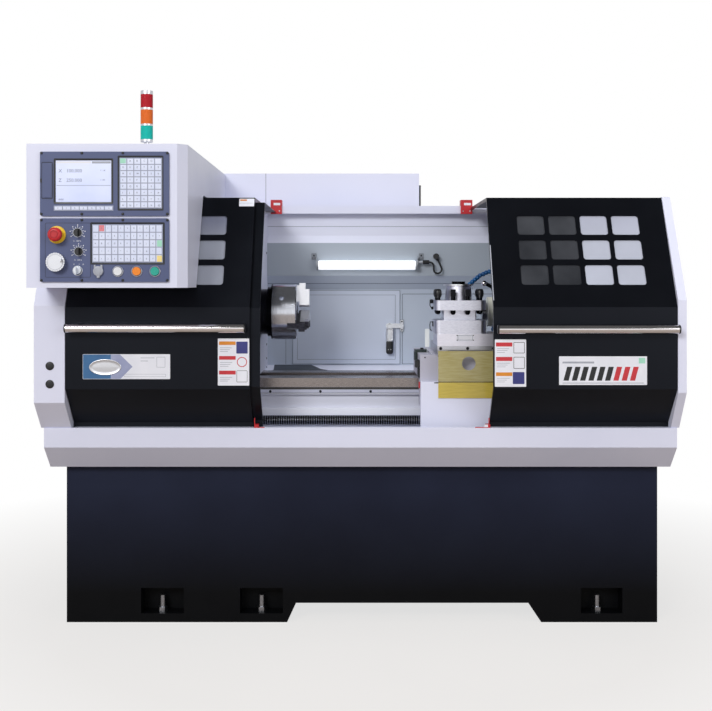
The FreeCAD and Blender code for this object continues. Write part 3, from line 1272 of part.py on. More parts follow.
def stem(place, face):
    return rod_y(STEM_R, (face - STEM_SINK, HOUSING_FACE + STEM_BACK), *place)


def make_estop_button():
    face = panel_y()[0] - STOP_RING_RISE
    front = -FRONT_REACH
    neck = rod_y(STOP_NECK_R, (front + STOP_EDGE_R, face - STOP_TRAVEL - 1), *STOP_BUTTON)
    head = rod_y(STOP_HEAD_R, (front, front + STOP_HEAD_T), *STOP_BUTTON)
    rim = [e for e in head.Edges
           if e.BoundBox.YMax < front + 1 and e.Curve.TypeId.endswith("Circle")]
    head = head.makeFillet(STOP_EDGE_R, rim)
    return fused([head, neck, stem(STOP_BUTTON, face - STOP_TRAVEL)])


def make_hand_dial():
    face = panel_y()[0] - SEAT_GAP
    disc = rod_y(DIAL_R, (face - DIAL_DEPTH, face), *DIAL)
    grooves = []
    reach = DIAL_R + DIAL_GROOVE_OUT
    for i in range(DIAL_GROOVES):
        angle = 2 * math.pi * i / DIAL_GROOVES
        grooves.append(rod_y(DIAL_GROOVE_R, (face - DIAL_DEPTH - 1, face + 1),
                             DIAL[0] + reach * math.cos(angle),
                             DIAL[1] + reach * math.sin(angle)))
    knob = rod_y(DIAL_KNOB_R, (face - DIAL_DEPTH - DIAL_KNOB_RISE, face - DIAL_DEPTH + 1),
                 DIAL[0] + DIAL_KNOB[0], DIAL[1] + DIAL_KNOB[1])
    return fused([cut(disc, grooves), knob, stem(DIAL, face)])


def make_selector(place):
    face = panel_y()[0] - SEAT_GAP
    skirt = rod_y(SELECTOR_R, (face - SKIRT_T, face), *place)
    grip = box((place[0] - GRIP_HALF, place[0] + GRIP_HALF), (face - GRIP_RISE, face - SKIRT_T + 1),
               (place[1] - SELECTOR_R + GRIP_IN, place[1] + SELECTOR_R - GRIP_IN))
    return fused([skirt, grip, stem(place, face)])


def make_key_switch():
    face = panel_y()[0] - SEAT_GAP
    lock = rod_y(SELECTOR_R, (face - LOCK_T, face), *KEY_SWITCH)
    x, z = KEY_SWITCH
    blade = box((x - KEY_HALF, x + KEY_HALF), (face - KEY_BLADE[0], face - LOCK_T + 1),
                (z - KEY_BLADE[1], z + KEY_BLADE[1]))
    bow = box((x - KEY_HALF, x + KEY_HALF), (face - KEY_BOW_Y[0], face - KEY_BOW_Y[1]),
              (z - KEY_BOW_Z[0], z + KEY_BOW_Z[1]))
    return fused([lock, blade, bow, stem(KEY_SWITCH, face)])


def make_button(x):
    face = panel_y()[0]
    cap = rod_y(BUTTON_R, (face - BUTTON_RISE, face - BUTTON_RISE + BUTTON_CAP_T), x, BUTTON_Z)
    return fused([cap, rod_y(STEM_R, (face - BUTTON_RISE, HOUSING_FACE + STEM_BACK), x, BUTTON_Z)])


# ---- signal tower ------------------------------------------------------------------------
def make_tower_base():
    edges = [HOUSING_Z[1]] + [z for pair in LENS_Z for z in pair] + [TOWER_TOP]
    parts = [rod_z(TOWER_FLANGE_R, (edges[0], edges[0] + TOWER_FLANGE_T), *TOWER),
             rod_z(TOWER_CORE_R, (edges[0], edges[-1]), *TOWER),
             rod_z(TOWER_R, (edges[0] + TOWER_FOOT, edges[1]), *TOWER)]
    for low, high in zip(edges[2::2], edges[3::2]):
        parts.append(rod_z(TOWER_R, (low, high), *TOWER))
    return fused(parts)


def make_tower_lenses():
    lenses = []
    for z in LENS_Z:
        hole = rod_z(TOWER_R - LENS_WALL, (z[0] - 1, z[1] + 1), *TOWER)
        lenses.append(cut(rod_z(TOWER_R, z, *TOWER), [hole]))
    return Part.makeCompound(lenses)


# ---- lamp and its cable ------------------------------------------------------------------
def make_work_lamp():
    tube = rod_x(LAMP_R, LAMP_X, LAMP_Y, LAMP_Z)
    caps = [rod_x(LAMP_R + LAMP_CAP_RISE, (LAMP_X[0] - LAMP_CAP, LAMP_X[0]), LAMP_Y, LAMP_Z),
            rod_x(LAMP_R + LAMP_CAP_RISE, (LAMP_X[1], LAMP_X[1] + LAMP_CAP), LAMP_Y, LAMP_Z)]
    brackets = []
    for x in (LAMP_X[0] - LAMP_CAP - SHEET, LAMP_X[1] + LAMP_CAP):
        brackets.append(box((x, x + SHEET), (LAMP_Y - BRACKET_DEPTH, WALL_LAMP_Y),
                            (LAMP_Z, LAMP_Z + BRACKET_RISE)))
    neck = rod_x(NECK_R, (LAMP_X[1] + LAMP_CAP, CONNECTOR_X[0]), LAMP_Y, CONNECTOR_Z)
    plug = rod_x(CONNECTOR_R, CONNECTOR_X, LAMP_Y, CONNECTOR_Z)
    end = V(CABLE_ROUTE[-1][0], LAMP_Y, CABLE_ROUTE[-1][1])
    before = V(CABLE_ROUTE[-2][0], LAMP_Y, CABLE_ROUTE[-2][1])
    way = (end - before).normalize()
    throat = Part.makeCone(CABLE_R + GLAND_LIP, GLAND_R, GLAND_THROAT, end, way)
    nut = rod_y(GLAND_R, (LAMP_Y - GLAND_R, WALL_LAMP_Y), GLAND_X, GLAND_Z)
    return Part.makeCompound([
        fused([tube] + caps + brackets + [neck, plug]),
        fused([throat, nut]),
    ])


def route_wire(corners):
    """Straight runs joined by tangent arcs of the cable's bend radius."""
    points = [V(x, LAMP_Y, z) for x, z in corners]
    edges, last = [], points[0]
    for before, corner, after in zip(points, points[1:], points[2:]):
        back = (before - corner).normalize()
        on = (after - corner).normalize()
        half_turn = (math.pi - back.getAngle(on)) / 2
        reach = CABLE_BEND * math.tan(half_turn)
        start, end = corner + back * reach, corner + on * reach
        inward = (back + on).normalize()
        middle = corner + inward * (CABLE_BEND / math.cos(half_turn) - CABLE_BEND)
        edges.append(Part.LineSegment(last, start).toShape())
        edges.append(Part.Arc(start, middle, end).toShape())
        last = end
    edges.append(Part.LineSegment(last, points[-1]).toShape())
    radii = [e.Curve.Radius for e in edges if e.Curve.TypeId.endswith("Circle")]
    print("cable radii, mm:", [round(radius, 1) for radius in radii])
    return Part.Wire(edges)


def make_lamp_cable():
    path = route_wire(CABLE_ROUTE)
    start = path.Edges[0].Vertexes[0].Point
    section = Part.Wire(Part.makeCircle(CABLE_R, start, path.Edges[0].tangentAt(0)))
    tube = path.makePipeShell([section], True, False)
    print("cable volume over section times length:",
          round(tube.Volume / (math.pi * CABLE_R ** 2 * path.Length), 4),
          "length, mm:", round(path.Length, 1))
    return tube


# ---- every piece by name -----------------------------------------------------------------
PIECES = {
    "base": make_base,
    "levelling_bolts": make_levelling_bolts,
    "chip_tray": make_chip_tray,
    "bed": make_bed,
    "headstock": make_headstock,
    "main_motor": make_main_motor,
    "drive_belts": make_drive_belts,
    "z_servo_motor": make_z_servo_motor,
    "left_cover": make_left_cover,
    "left_guard": make_left_guard,
    "right_cover": make_right_cover,
    "rear_wall": make_rear_wall,
    "service_door": make_service_door,
    "door_beam": make_door_beam,
    "door_switches": make_door_switches,
    "work_lamp": make_work_lamp,
    "lamp_cable": make_lamp_cable,
    "electrical_cabinet": make_electrical_cabinet,
    "control_housing": make_control_housing,
    "control_panels": make_control_panels,
    "screen": make_screen,
    "keypads": make_keypads,
    "tower_base": make_tower_base,
    "tower_lenses": make_tower_lenses,
    "spindle": make_spindle,
    "chuck_body": make_chuck_body,
    "motor_pulley": make_motor_pulley,
    "z_ball_screw": make_z_ball_screw,
    "saddle": make_saddle,
    "apron_cover": make_apron_cover,
    "way_guard": make_way_guard,
    "x_servo_motor": make_x_servo_motor,
    "coolant_hose": make_coolant_hose,
    "x_ball_screw": make_x_ball_screw,
    "cross_slide": make_cross_slide,
    "turret_base": make_turret_base,
    "turret_head": make_turret_head,
    "turret_screws": make_turret_screws,
    "tailstock_body": make_tailstock_body,
    "tailstock_quill": make_tailstock_quill,
    "tailstock_handwheel": make_tailstock_handwheel,
    "left_door": make_left_door,
    "right_door": make_right_door,
    "cabinet_door": make_cabinet_door,
    "latch_handle": make_latch_handle,
    "estop_button": make_estop_button,
    "hand_dial": make_hand_dial,
    "key_switch": make_key_switch,
}

shapes = {name: make() for name, make in PIECES.items()}
for index in range(JAW_COUNT):
    shapes["chuck_jaw_" + str(index + 1)] = make_jaw(index)
for name, x in BUTTON_X.items():
    shapes[name] = make_button(x)
shapes["feed_selector"] = make_selector(FEED_SELECTOR)
shapes["speed_selector"] = make_selector(SPEED_SELECTOR)
shapes["left_door_panes"] = make_panes(LEFT_DOOR_X, LEFT_PANE_X, -1)
shapes["right_door_panes"] = make_panes(RIGHT_DOOR_X, RIGHT_PANE_X, 1)
shapes["left_door_handle"] = make_handle(LEFT_HANDLE_X, LEFT_HANDLE_Z)
shapes["right_door_handle"] = make_handle(RIGHT_HANDLE_X, RIGHT_HANDLE_Z)

for name, shape in shapes.items():
    if not shape.isValid():
        print("not valid:", name)
    shape.exportStep("parts/" + name + ".step")
print(len(shapes), "pieces")
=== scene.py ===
# %% [markdown]
# # Turning lathe
# The looks of a sheet-metal-guarded turning lathe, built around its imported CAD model. The model's
# own frame is kept: +X from chuck to tailstock, -Y towards the operator, +Z up. Blender works in
# metres; the sizes below are written in millimetres, as a machine builder reads them.

# %% Set-up
import math

import bpy
import numpy as np
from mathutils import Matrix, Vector


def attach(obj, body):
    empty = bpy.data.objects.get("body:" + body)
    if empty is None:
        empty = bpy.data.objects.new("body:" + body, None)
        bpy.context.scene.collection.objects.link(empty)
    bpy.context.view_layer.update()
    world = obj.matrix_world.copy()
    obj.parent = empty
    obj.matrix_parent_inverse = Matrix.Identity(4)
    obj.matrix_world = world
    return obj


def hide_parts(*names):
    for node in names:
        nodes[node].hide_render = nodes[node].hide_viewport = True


MM = 0.001
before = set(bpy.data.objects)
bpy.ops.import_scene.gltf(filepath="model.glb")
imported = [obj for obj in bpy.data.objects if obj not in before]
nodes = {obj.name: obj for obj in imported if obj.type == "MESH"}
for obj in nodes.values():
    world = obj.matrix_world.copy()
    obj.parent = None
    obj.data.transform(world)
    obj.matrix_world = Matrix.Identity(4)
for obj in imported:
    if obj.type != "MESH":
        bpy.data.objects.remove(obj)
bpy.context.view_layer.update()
scene = bpy.context.scene

# %% [markdown]
# ## Camera
# The photograph is taken level from straight in front, through a normal lens, with the horizon
# above its middle. Shifting the lens keeps the machine's upright edges parallel, where tilting
# the camera would make them lean.

# %% Camera
CAMERA_AT = (-0.014, -4.072, 1.170)
LENS = 56.63
SENSOR = 36.0
HORIZON_SHIFT = -0.106

lens = bpy.data.cameras.new("camera")
lens.lens = LENS
lens.sensor_width = SENSOR
lens.shift_y = HORIZON_SHIFT
camera = bpy.data.objects.new("camera", lens)
camera.location = CAMERA_AT
camera.rotation_euler = (math.radians(90), 0, 0)
scene.collection.objects.link(camera)
scene.camera = camera
print("camera", CAMERA_AT, "lens", LENS, "mm")

# %% [markdown]
# ## The lamp's cable
# A limp 7 mm rubber lead leaves the lamp's connector, hangs in one loop and goes up into its
# gland. A chain of cylinders would show its joints, so it is a NURBS curve whose control points
# are the corners of the route, as X and Z in the plane of the lamp. Each point's radius is the
# cable's own, because the curve's box is drawn by those radii.

# %% Cable
LAMP_Y = 0.300
CABLE_D = 0.007
CABLE_ROUTE = (
    (0.2714, 1.2395), (0.2805, 1.2395), (0.2890, 1.2310), (0.2890, 1.2051), (0.2981, 1.1960),
    (0.3109, 1.1960), (0.3200, 1.2051), (0.3200, 1.2190), (0.3062, 1.2466),
)

cable_line = bpy.data.curves.new("lamp_flex", "CURVE")
cable_line.dimensions = "3D"
spline = cable_line.splines.new("NURBS")
spline.points.add(len(CABLE_ROUTE) - 1)
for point, (x, z) in zip(spline.points, CABLE_ROUTE):
    point.co = (x, LAMP_Y, z, 1.0)
    point.radius = CABLE_D / 2
spline.order_u = 3
spline.use_endpoint_u = True
spline.resolution_u = 12
cable_line.bevel_depth = 1.0
cable_line.bevel_resolution = 5
cable_line.use_fill_caps = True
lamp_flex = bpy.data.objects.new("lamp_flex", cable_line)
scene.collection.objects.link(lamp_flex)
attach(lamp_flex, "machine")
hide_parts("lamp_cable")
print("lamp cable:", len(CABLE_ROUTE), "control points")

# %% [markdown]
# ## One tool for every shader
# A material is a small tree of nodes. It could be clicked together in the shader editor, but in
# code it can be read, compared and run again. One function adds a node with its settings and its
# links, whatever its kind, so each finish below reads as a recipe. Colours are written as sRGB
# codes, as a colour card gives them, and one function turns them to the linear light of Cycles.


# %% Colours and nodes
def srgb(code):
    """Linear colour of a hex code: below 0.04045 a twelfth, above it a power of 2.4."""
    values = [int(code[i:i + 2], 16) / 255 for i in (1, 3, 5)]
    return tuple(v / 12.92 if v <= 0.04045 else ((v + 0.055) / 1.055) ** 2.4 for v in values) + (1,)


def wire(tree, node, inputs):
    """Give a node's sockets their values or colour codes, or link them to other sockets."""
    for key, value in inputs.items():
        if isinstance(value, bpy.types.NodeSocket):
            tree.links.new(value, node.inputs[key])
        else:
            node.inputs[key].default_value = srgb(value) if isinstance(value, str) else value


def add(tree, kind, inputs=None, out=0, **settings):
    """Add one node and hand back its output: inputs go by name or number, settings by name."""
    node = tree.nodes.new("ShaderNode" + kind)
    for key, value in settings.items():
        setattr(node, key, value)
    wire(tree, node, inputs or {})
    return node.outputs[out]


def begin(name):
    """A new material, its tree, its Principled shader and the object coordinates."""
    material = bpy.data.materials.new(name)
    material.use_nodes = True
    tree = material.node_tree
    return material, tree, tree.nodes["Principled BSDF"], add(tree, "TexCoord", out="Object")


# %% [markdown]
# ## Tones and patterns
# No real surface has one tone or one gloss. A painter would dab a second colour over the first
# through a stencil, and the same is done here: a pattern or a zone is a mask from 0 to 1, and
# coats are laid over each other through masks. Patterns are noise of a size in millimetres.
# Zones are read from the object coordinates in metres, so they stay put in every view and pose.
# Where marks mirror each other about a middle, distances from it describe them all at once.


# %% Noise and coats
NOISE_LOW, NOISE_HIGH = 0.3, 0.7    # the part of the noise that is stretched
FAR = 3.0                           # metres, further than the machine reaches


def drift(tree, place, size_mm, low, high, detail=3.0, grain=(1, 1, 1)):
    """Soft noise of about size_mm, stretched to run from low to high."""
    moved = add(tree, "Mapping", {"Vector": place, "Scale": grain})
    noise = add(tree, "TexNoise", {"Vector": moved, "Scale": 1000 / size_mm, "Detail": detail})
    return add(tree, "MapRange", {"Value": noise, "From Min": NOISE_LOW, "From Max": NOISE_HIGH,
                                  "To Min": low, "To Max": high})


def layered(tree, under, *coats):
    """Coats over a tone: each is a mask and the tone that shows as far as the mask nears 1."""
    for mask, tone in coats:    # Mix takes its share on input 0 and colours on inputs 6 and 7
        under = add(tree, "Mix", {0: mask, 6: under, 7: tone}, out=2, data_type="RGBA")
    return under


def mottled(tree, place, size_mm, tones):
    """Two close tones in soft patches of about size_mm."""
    return layered(tree, tones[0], (drift(tree, place, size_mm, 0.0, 1.0), tones[1]))


# %% Zones and marks
def zone(tree, place, **limits):
    """1 inside limits, each an axis with its low and high end, otherwise 0.

    Along one axis, the distance from the middle is compared with half the width. Answers for
    more axes are multiplied.
    """
    inside = None
    for axis, (low, high) in limits.items():
        where = add(tree, "SeparateXYZ", {"Vector": place}, out=axis)
        within = add(tree, "Math", {0: where, 1: (low + high) / 2, 2: (high - low) / 2},
                     operation="COMPARE")
        inside = within if inside is None else add(tree, "Math", {0: inside, 1: within},
                                                   operation="MULTIPLY")
    return inside


def mirrored(tree, place, middle):
    """Distance from a middle along each axis, so that one mark stands for its mirror images."""
    away = add(tree, "VectorMath", {0: place, 1: middle}, operation="SUBTRACT")
    return add(tree, "VectorMath", {0: away}, operation="ABSOLUTE")


def dot(tree, place, axes, middle, r):
    """1 within r of a point in the plane of two axes, otherwise 0."""
    parts = {axis: add(tree, "SeparateXYZ", {"Vector": place}, out=axis) for axis in axes}
    point = [middle[axes.index(axis)] if axis in axes else 0.0 for axis in "XYZ"]
    away = add(tree, "VectorMath", {0: add(tree, "CombineXYZ", parts), 1: point}, out="Value",
               operation="DISTANCE")
    return add(tree, "Math", {0: away, 1: r}, operation="LESS_THAN")


def slope(tree, place, axis, start, end):
    """0 before start, 1 past end and evenly rising between them, along one axis."""
    where = add(tree, "SeparateXYZ", {"Vector": place}, out=axis)
    return add(tree, "MapRange", {"Value": where, "From Min": start, "From Max": end})


def ripples(tree, place, axis, pitch_mm):
    """A sine along one axis that repeats at each pitch."""
    where = add(tree, "SeparateXYZ", {"Vector": place}, out=axis)
    angle = add(tree, "Math", {0: where, 1: 2 * math.pi / (pitch_mm * MM)}, operation="MULTIPLY")
    return add(tree, "Math", {0: angle}, operation="SINE")


print("zones reach up to", FAR, "m")

# %% [markdown]
# ## Paint on sheet and castings
# The covers are folded sheet steel with a baked powder coat. Powder melts into a film that is
# never quite flat: it has an orange peel of 1 to 2 mm, and its gloss varies from place to place.
# The base and the carriage are iron castings, brushed with filler and sprayed, so their ripple
# is wider and deeper. Paint is a dielectric, with the usual IOR of 1.5. A clear coat over a flat
# colour would be another way, but satin paint shows no second gloss. On the near-black paints
# the specular level is low, because they are satin and would look grey in a white room.


# %% A sprayed film
PATCH_MM = 420    # size of the soft patches in a paint's tone
GLOSS_MM = 90     # size of those in its gloss
POWDER_TONES = ("#dddff2", "#d7daee")


def sprayed(tree, place, rough=(0.36, 0.46), ripple_mm=1.6, relief_mm=0.03):
    """Roughness and relief of a sprayed film: uneven gloss and a fine peel."""
    peel = drift(tree, place, ripple_mm, 0.0, 1.0, 2.0)
    return {"Roughness": drift(tree, place, GLOSS_MM, *rough),
            "Normal": add(tree, "Bump", {"Height": peel, "Strength": 0.5,
                                         "Distance": relief_mm * MM})}


def painted(name, tones, rough, ripple_mm=1.6, relief_mm=0.03, specular=0.5, mirror="#ffffff"):
    """Sprayed paint: patches of two close tones under a film; mirror tints its reflections."""
    material, tree, shader, place = begin(name)
    wire(tree, shader, {"Base Color": mottled(tree, place, PATCH_MM, tones),
                        "Specular IOR Level": specular, "Specular Tint": mirror,
                        **sprayed(tree, place, rough, ripple_mm, relief_mm)})
    return material


# %% The machine's paints
POWDER_WHITE = painted("powder_coat_white", POWDER_TONES, (0.36, 0.46))
POWDER_TRAY = painted("powder_coat_tray", ("#dbddf0", "#d5d8ec"), (0.38, 0.48))
POWDER_BLACK = painted("powder_coat_black", ("#090a0e", "#0d0f14"), (0.28, 0.36), specular=0.25,
                       mirror="#c8d0e6")
HATCH_GREY = painted("powder_coat_hatch", ("#cbd3e4", "#c2cbdd"), (0.40, 0.50))
# Slate: the dark sheet on the sill, and painted shade at the slide's lower corners.
SLATE_SHEET_AND_SHADE = painted("powder_coat_slate_and_shade", ("#414851", "#394049"), (0.42, 0.52), specular=0.3)
CASTING_PALE = painted("casting_enamel_pale", ("#b9b8c6", "#acabba"), (0.45, 0.58), 6.0, 0.15)
CASTING_CREAM = painted("casting_enamel_cream", ("#e6e7dc", "#dcddd1"), (0.42, 0.55), 6.0, 0.15)
PANEL_GREY = painted("panel_enamel_grey", ("#545d82", "#4e577a"), (0.42, 0.5), specular=0.35)
print(len(bpy.data.materials), "paints")

# %% [markdown]
# ## Worked steel
# A cutter or a wheel leaves fine parallel lines in steel: across a turned shaft, along a ground
# way. The lines are noise stretched a dozen times or more, about 1 mm apart, which is coarser
# than the real ones so that they show. They steer tone, roughness and relief together. An
# anisotropic gloss would be another way, but it draws no lines in the tone. Chrome on the
# handles is smooth, so it has next to none. Metals keep the default IOR. Some pieces change tone
# in zones: a band round the chuck is blackened. The top jaw's near white is painted light, and
# the two lower jaws are the same steel painted dark as shade, bright only at the front as
# painted light.


# %% Tool marks
BLACKENED = "#17181c"


def cut(tree, marks, gloss, rough, relief_mm, depth=0.4):
    """Metal whose roughness follows one pattern, and whose relief follows the tool marks."""
    return {"Metallic": 1.0,
            "Roughness": add(tree, "MapRange", {"Value": gloss, "To Min": rough[0],
                                                "To Max": rough[1]}),
            "Normal": add(tree, "Bump", {"Height": marks, "Strength": depth,
                                         "Distance": relief_mm * MM})}


def machined(name, tones, rough, lines_mm=1.0, grain=(1, 1, 1), relief_mm=0.04, patches=0.4,
             depth=0.4, zones=()):
    """Steel with tool marks: noise squeezed along two axes runs along the third.

    A zone is a tone and the limits that it lies within.
    """
    material, tree, shader, place = begin(name)
    lines = drift(tree, place, lines_mm * max(grain), 0.0, 1.0, 4.0, grain)
    mixed = add(tree, "Mix", {"Factor": patches, 2: lines, 3: drift(tree, place, 70, 0.0, 1.0)})
    tone = layered(tree, tones[0], (mixed, tones[1]))
    for coat, limits in zones:
        tone = layered(tree, tone, (zone(tree, place, **limits), coat))
    wire(tree, shader, {"Base Color": tone, **cut(tree, lines, mixed, rough, relief_mm, depth)})
    return material


# %% The machine's metals
GROUND = machined("ground_steel", ("#d2d2da", "#b4b5bd"), (0.24, 0.38), 1.0, (1, 14, 14))
TURNED = machined("turned_steel", ("#b9bbc2", "#8b8e95"), (0.20, 0.34), 1.2, (24, 1, 1))
CHROME = machined("chrome_plate", ("#eeeaec", "#e2dede"), (0.08, 0.14), 30.0, (1, 1, 1), 0.003)
BLACK_OXIDE = machined("black_oxide_steel", ("#242529", "#17181b"), (0.28, 0.42), 1.5)
# The top jaw's near-white steel is painted light.
JAW_LIT = machined("jaw_steel_ground_lit", ("#f6f8fd", "#eceef7"), (0.34, 0.44), 1.0, (1, 1, 12))
TOOL_STEEL = machined("tool_post_steel", ("#f2f0fb", "#dddce8"), (0.28, 0.42), 1.2, (1, 10, 10))
ZINC = machined("zinc_plate", ("#8f949d", "#7b8089"), (0.35, 0.5), 2.0)
ALUMINIUM = machined("anodised_aluminium", ("#d6d7dc", "#c4c6cc"), (0.3, 0.4), 1.5)
STAINLESS = machined("stainless_sheet", ("#dcdfe6", "#ccd0d8"), (0.24, 0.34), 0.9, (1, 12, 12))
print(len(bpy.data.materials), "paints and even metals")

# %% Metals in zones
CHUCK_STEEL = machined("chuck_turned_steel", ("#e2e5ee", "#c6c9d3"), (0.16, 0.22), 36 / 26,
                       (26, 1, 1), 0.001, 0.0, 0.1, [(BLACKENED, {"X": (-0.345, -0.314)})])
SPINDLE_STEEL = machined("spindle_turned_steel", ("#b9bbc2", "#8b8e95"), (0.20, 0.34), 36 / 26,
                         (26, 1, 1), 0.001, 0.0, 0.1, [(BLACKENED, {"X": (-0.400, -0.332)})])
# The two lower jaws: the same steel painted dark as shade, with painted light at their upper front.
JAW_SHADED_AND_LIT = machined("jaw_steel_shaded_and_lit", ("#85868d", "#45464b"), (0.28, 0.40), 1.0,
                       (1, 12, 1), 0.02, 0.0,
                       zones=[("#eceef6", {"X": (-0.213, FAR), "Z": (1.022, FAR)})])
TOOL_HEAD = machined("tool_post_head", ("#eaebf6", "#cdcedd"), (0.28, 0.40), 1.2, (1, 10, 10),
                     patches=0.0, zones=[("#f2f3f8", {"Z": (1.1506, FAR)}),
                                         (BLACKENED, {"Z": (1.1544, FAR)})])
print(len(bpy.data.materials), "paints and metals")

# %% [markdown]
# ## Mouldings and prints
# Knobs, keys and switch blocks are moulded: ABS and polyamide copy the spark-eroded grain of
# their mould, here a little under a millimetre, and shine softly. Rubber is nearly matt, and the
# caps of push buttons are polished, so they get a thin coat. Labels are printed polyester film.
# A picture could carry a whole label, but each ink is a material of its own here, so that a
# print has real edges at any distance.


# %% A moulded grain
def moulded(name, tones, rough=(0.35, 0.45), grain_mm=0.8, relief_mm=0.02, coat=0.0):
    """Plastic or rubber with a fine even grain."""
    material, tree, shader, place = begin(name)
    grain = drift(tree, place, grain_mm, 0.0, 1.0, 2.0)
    wire(tree, shader, {
        "Base Color": mottled(tree, place, 60, tones), "Roughness": drift(tree, place, 24, *rough),
        "Normal": add(tree, "Bump", {"Height": grain, "Strength": 0.5, "Distance": relief_mm * MM}),
        "Coat Weight": coat})
    return material


def printed(name, tones, rough=(0.35, 0.45)):
    """Ink or film, whose grain is all but flat and 3 mm wide, coarser than real so it shows."""
    return moulded(name, tones, rough, 3.0, 0.01)


# %% Rubber and moulded parts
RUBBER = moulded("black_rubber", ("#0f1012", "#15161a"), (0.55, 0.7))
BELT = moulded("belt_rubber", ("#131416", "#1a1b1e"), (0.65, 0.8), 1.2)
NYLON_BLACK = moulded("black_polyamide", ("#101114", "#18191d"), (0.32, 0.45))
GASKET = moulded("dark_gasket", ("#1c1f27", "#171a21"), (0.5, 0.6))
SEAM_GREY = moulded("seam_sealer_grey", ("#6d7683", "#636c79"), (0.6, 0.7))
SEAM_PALE = moulded("seam_sealer_pale", ("#8f99a8", "#8791a0"), (0.6, 0.7))
RED = moulded("red_abs", ("#c4202a", "#b21822"))
YELLOW = moulded("yellow_abs", ("#ecc21c", "#deb414"))
WHITE_CAP = moulded("white_cap", ("#e4e5e9", "#dadce1"), (0.22, 0.3), coat=0.3)
ORANGE_CAP = moulded("orange_cap", ("#f08a1c", "#e57d12"), (0.22, 0.3), coat=0.3)
GREEN_CAP = moulded("green_cap", ("#16ab98", "#109c8a"), (0.22, 0.3), coat=0.3)
HOSE_BLUE = moulded("blue_acetal", ("#17609a", "#0f4a80"), (0.3, 0.4), 1.5)
OIL_GREEN = moulded("dark_green_housing", ("#1c2b2a", "#152321"), (0.35, 0.5), 1.0)
print(len(bpy.data.materials), "paints, metals and plastics")

# %% Films and inks
CLEAR_SHIELD = printed("frosted_acrylic_shield", ("#e4e8ea", "#d5dbdf"), (0.25, 0.35))
LABEL_WHITE = printed("label_film_white", ("#e8e9f2", "#e0e2ec"))
LABEL_BLUE = printed("label_print_blue", ("#3c6f9e", "#2f5f8f"))
LABEL_INDIGO = printed("label_print_indigo", ("#34387c", "#2b2f70"))
LABEL_RED = printed("label_print_red", ("#c8323c", "#bb2a34"))
LABEL_ORANGE = printed("label_print_orange", ("#d98a2c", "#cf7f24"))
LABEL_LILAC = printed("label_print_lilac", ("#a9aecb", "#8f96b8"), (0.3, 0.4))
LABEL_GREY = printed("label_print_grey", ("#a9adb8", "#9ea2ae"))
LABEL_BLACK = printed("label_print_black", ("#1b1c20", "#15161a"), (0.3, 0.4))
INK = printed("key_ink", ("#6f7890", "#646d85"), (0.4, 0.5))
MARK_WHITE = printed("scale_print_white", ("#e6e8ee", "#dcdfe6"), (0.4, 0.5))
SCREEN_INK = printed("screen_ink", ("#77809c", "#6d7692"), (0.3, 0.4))
KEY_RED = printed("key_film_red", ("#e0848c", "#d8767f"))
KEY_GREEN = printed("key_film_green", ("#a5dcc6", "#98d2bb"))
KEY_YELLOW = printed("key_film_yellow", ("#f2dc92", "#ead284"))
print(len(bpy.data.materials), "paints, metals, plastics and prints")

# %% [markdown]
# ## Base, bed and rear wall
# These are single pieces with more than one finish. The cast base is navy enamel that goes
# nearly black towards the floor, in painted shade. The bed's iron is painted below and ground
# bright on its ways; its forward band is painted lighter as painted light, and a dark line under
# the ways is a painted shadow. The rear wall is white above and below, grey between, with a line
# of painted shade at a fold. Each mesh could be split where its finish changes, but zones leave
# the CAD triangles alone.


# %% Base
def base_enamel():
    """Brushed navy enamel; painted shade near black 100 mm over the floor, navy from 460 mm."""
    material, tree, shader, place = begin("casting_enamel_base")
    navy = mottled(tree, place, PATCH_MM, ("#1a1e2f", "#22273a"))
    # The near black below 100 mm, blending into navy by 460 mm, is painted shade.
    tone = layered(tree, "#07080b", (slope(tree, place, "Z", 0.10, 0.46), navy))
    wire(tree, shader, {"Base Color": tone, "Specular IOR Level": 0.10,
                        **sprayed(tree, place, (0.42, 0.54), 6.0, 0.15)})
    return material


BASE_ENAMEL = base_enamel()
print("base:", BASE_ENAMEL.name)


# %% Bed
def bed_casting():
    """Grey iron, painted up to 797 mm; the ways above it are ground bright and a little oiled."""
    material, tree, shader, place = begin("bed_casting")
    web, strip, way = (zone(tree, place, Z=(foot, FAR)) for foot in (0.7245, 0.7745, 0.797))
    # The dark line just under the way block, 774.7 to 776.7 mm, is a painted shadow.
    seat, ledge_shadow = (zone(tree, place, Z=ends) for ends in ((0.7883, 0.7967), (0.7747, 0.7767)))
    lines = drift(tree, place, 14.0, 0.0, 1.0, 4.0, (1, 14, 14))
    bright = layered(tree, "#817a78", (lines, "#a49c9a"))
    # The palest tone, below 724.5 mm, is painted light on the band that stands forward.
    tone = layered(tree, "#e9ebf8", (web, "#cfd1de"), (strip, "#b3b6c8"),
                   (drift(tree, place, 300, 0.0, 0.25), "#b9bbc8"), (way, bright),
                   (seat, "#2a2826"), (ledge_shadow, "#2a2826"))
    wire(tree, shader, {**cut(tree, lines, way, (0.48, 0.27), 0.04), "Base Color": tone,
                        "Metallic": way})
    return material


BED = bed_casting()
print("bed:", BED.name)


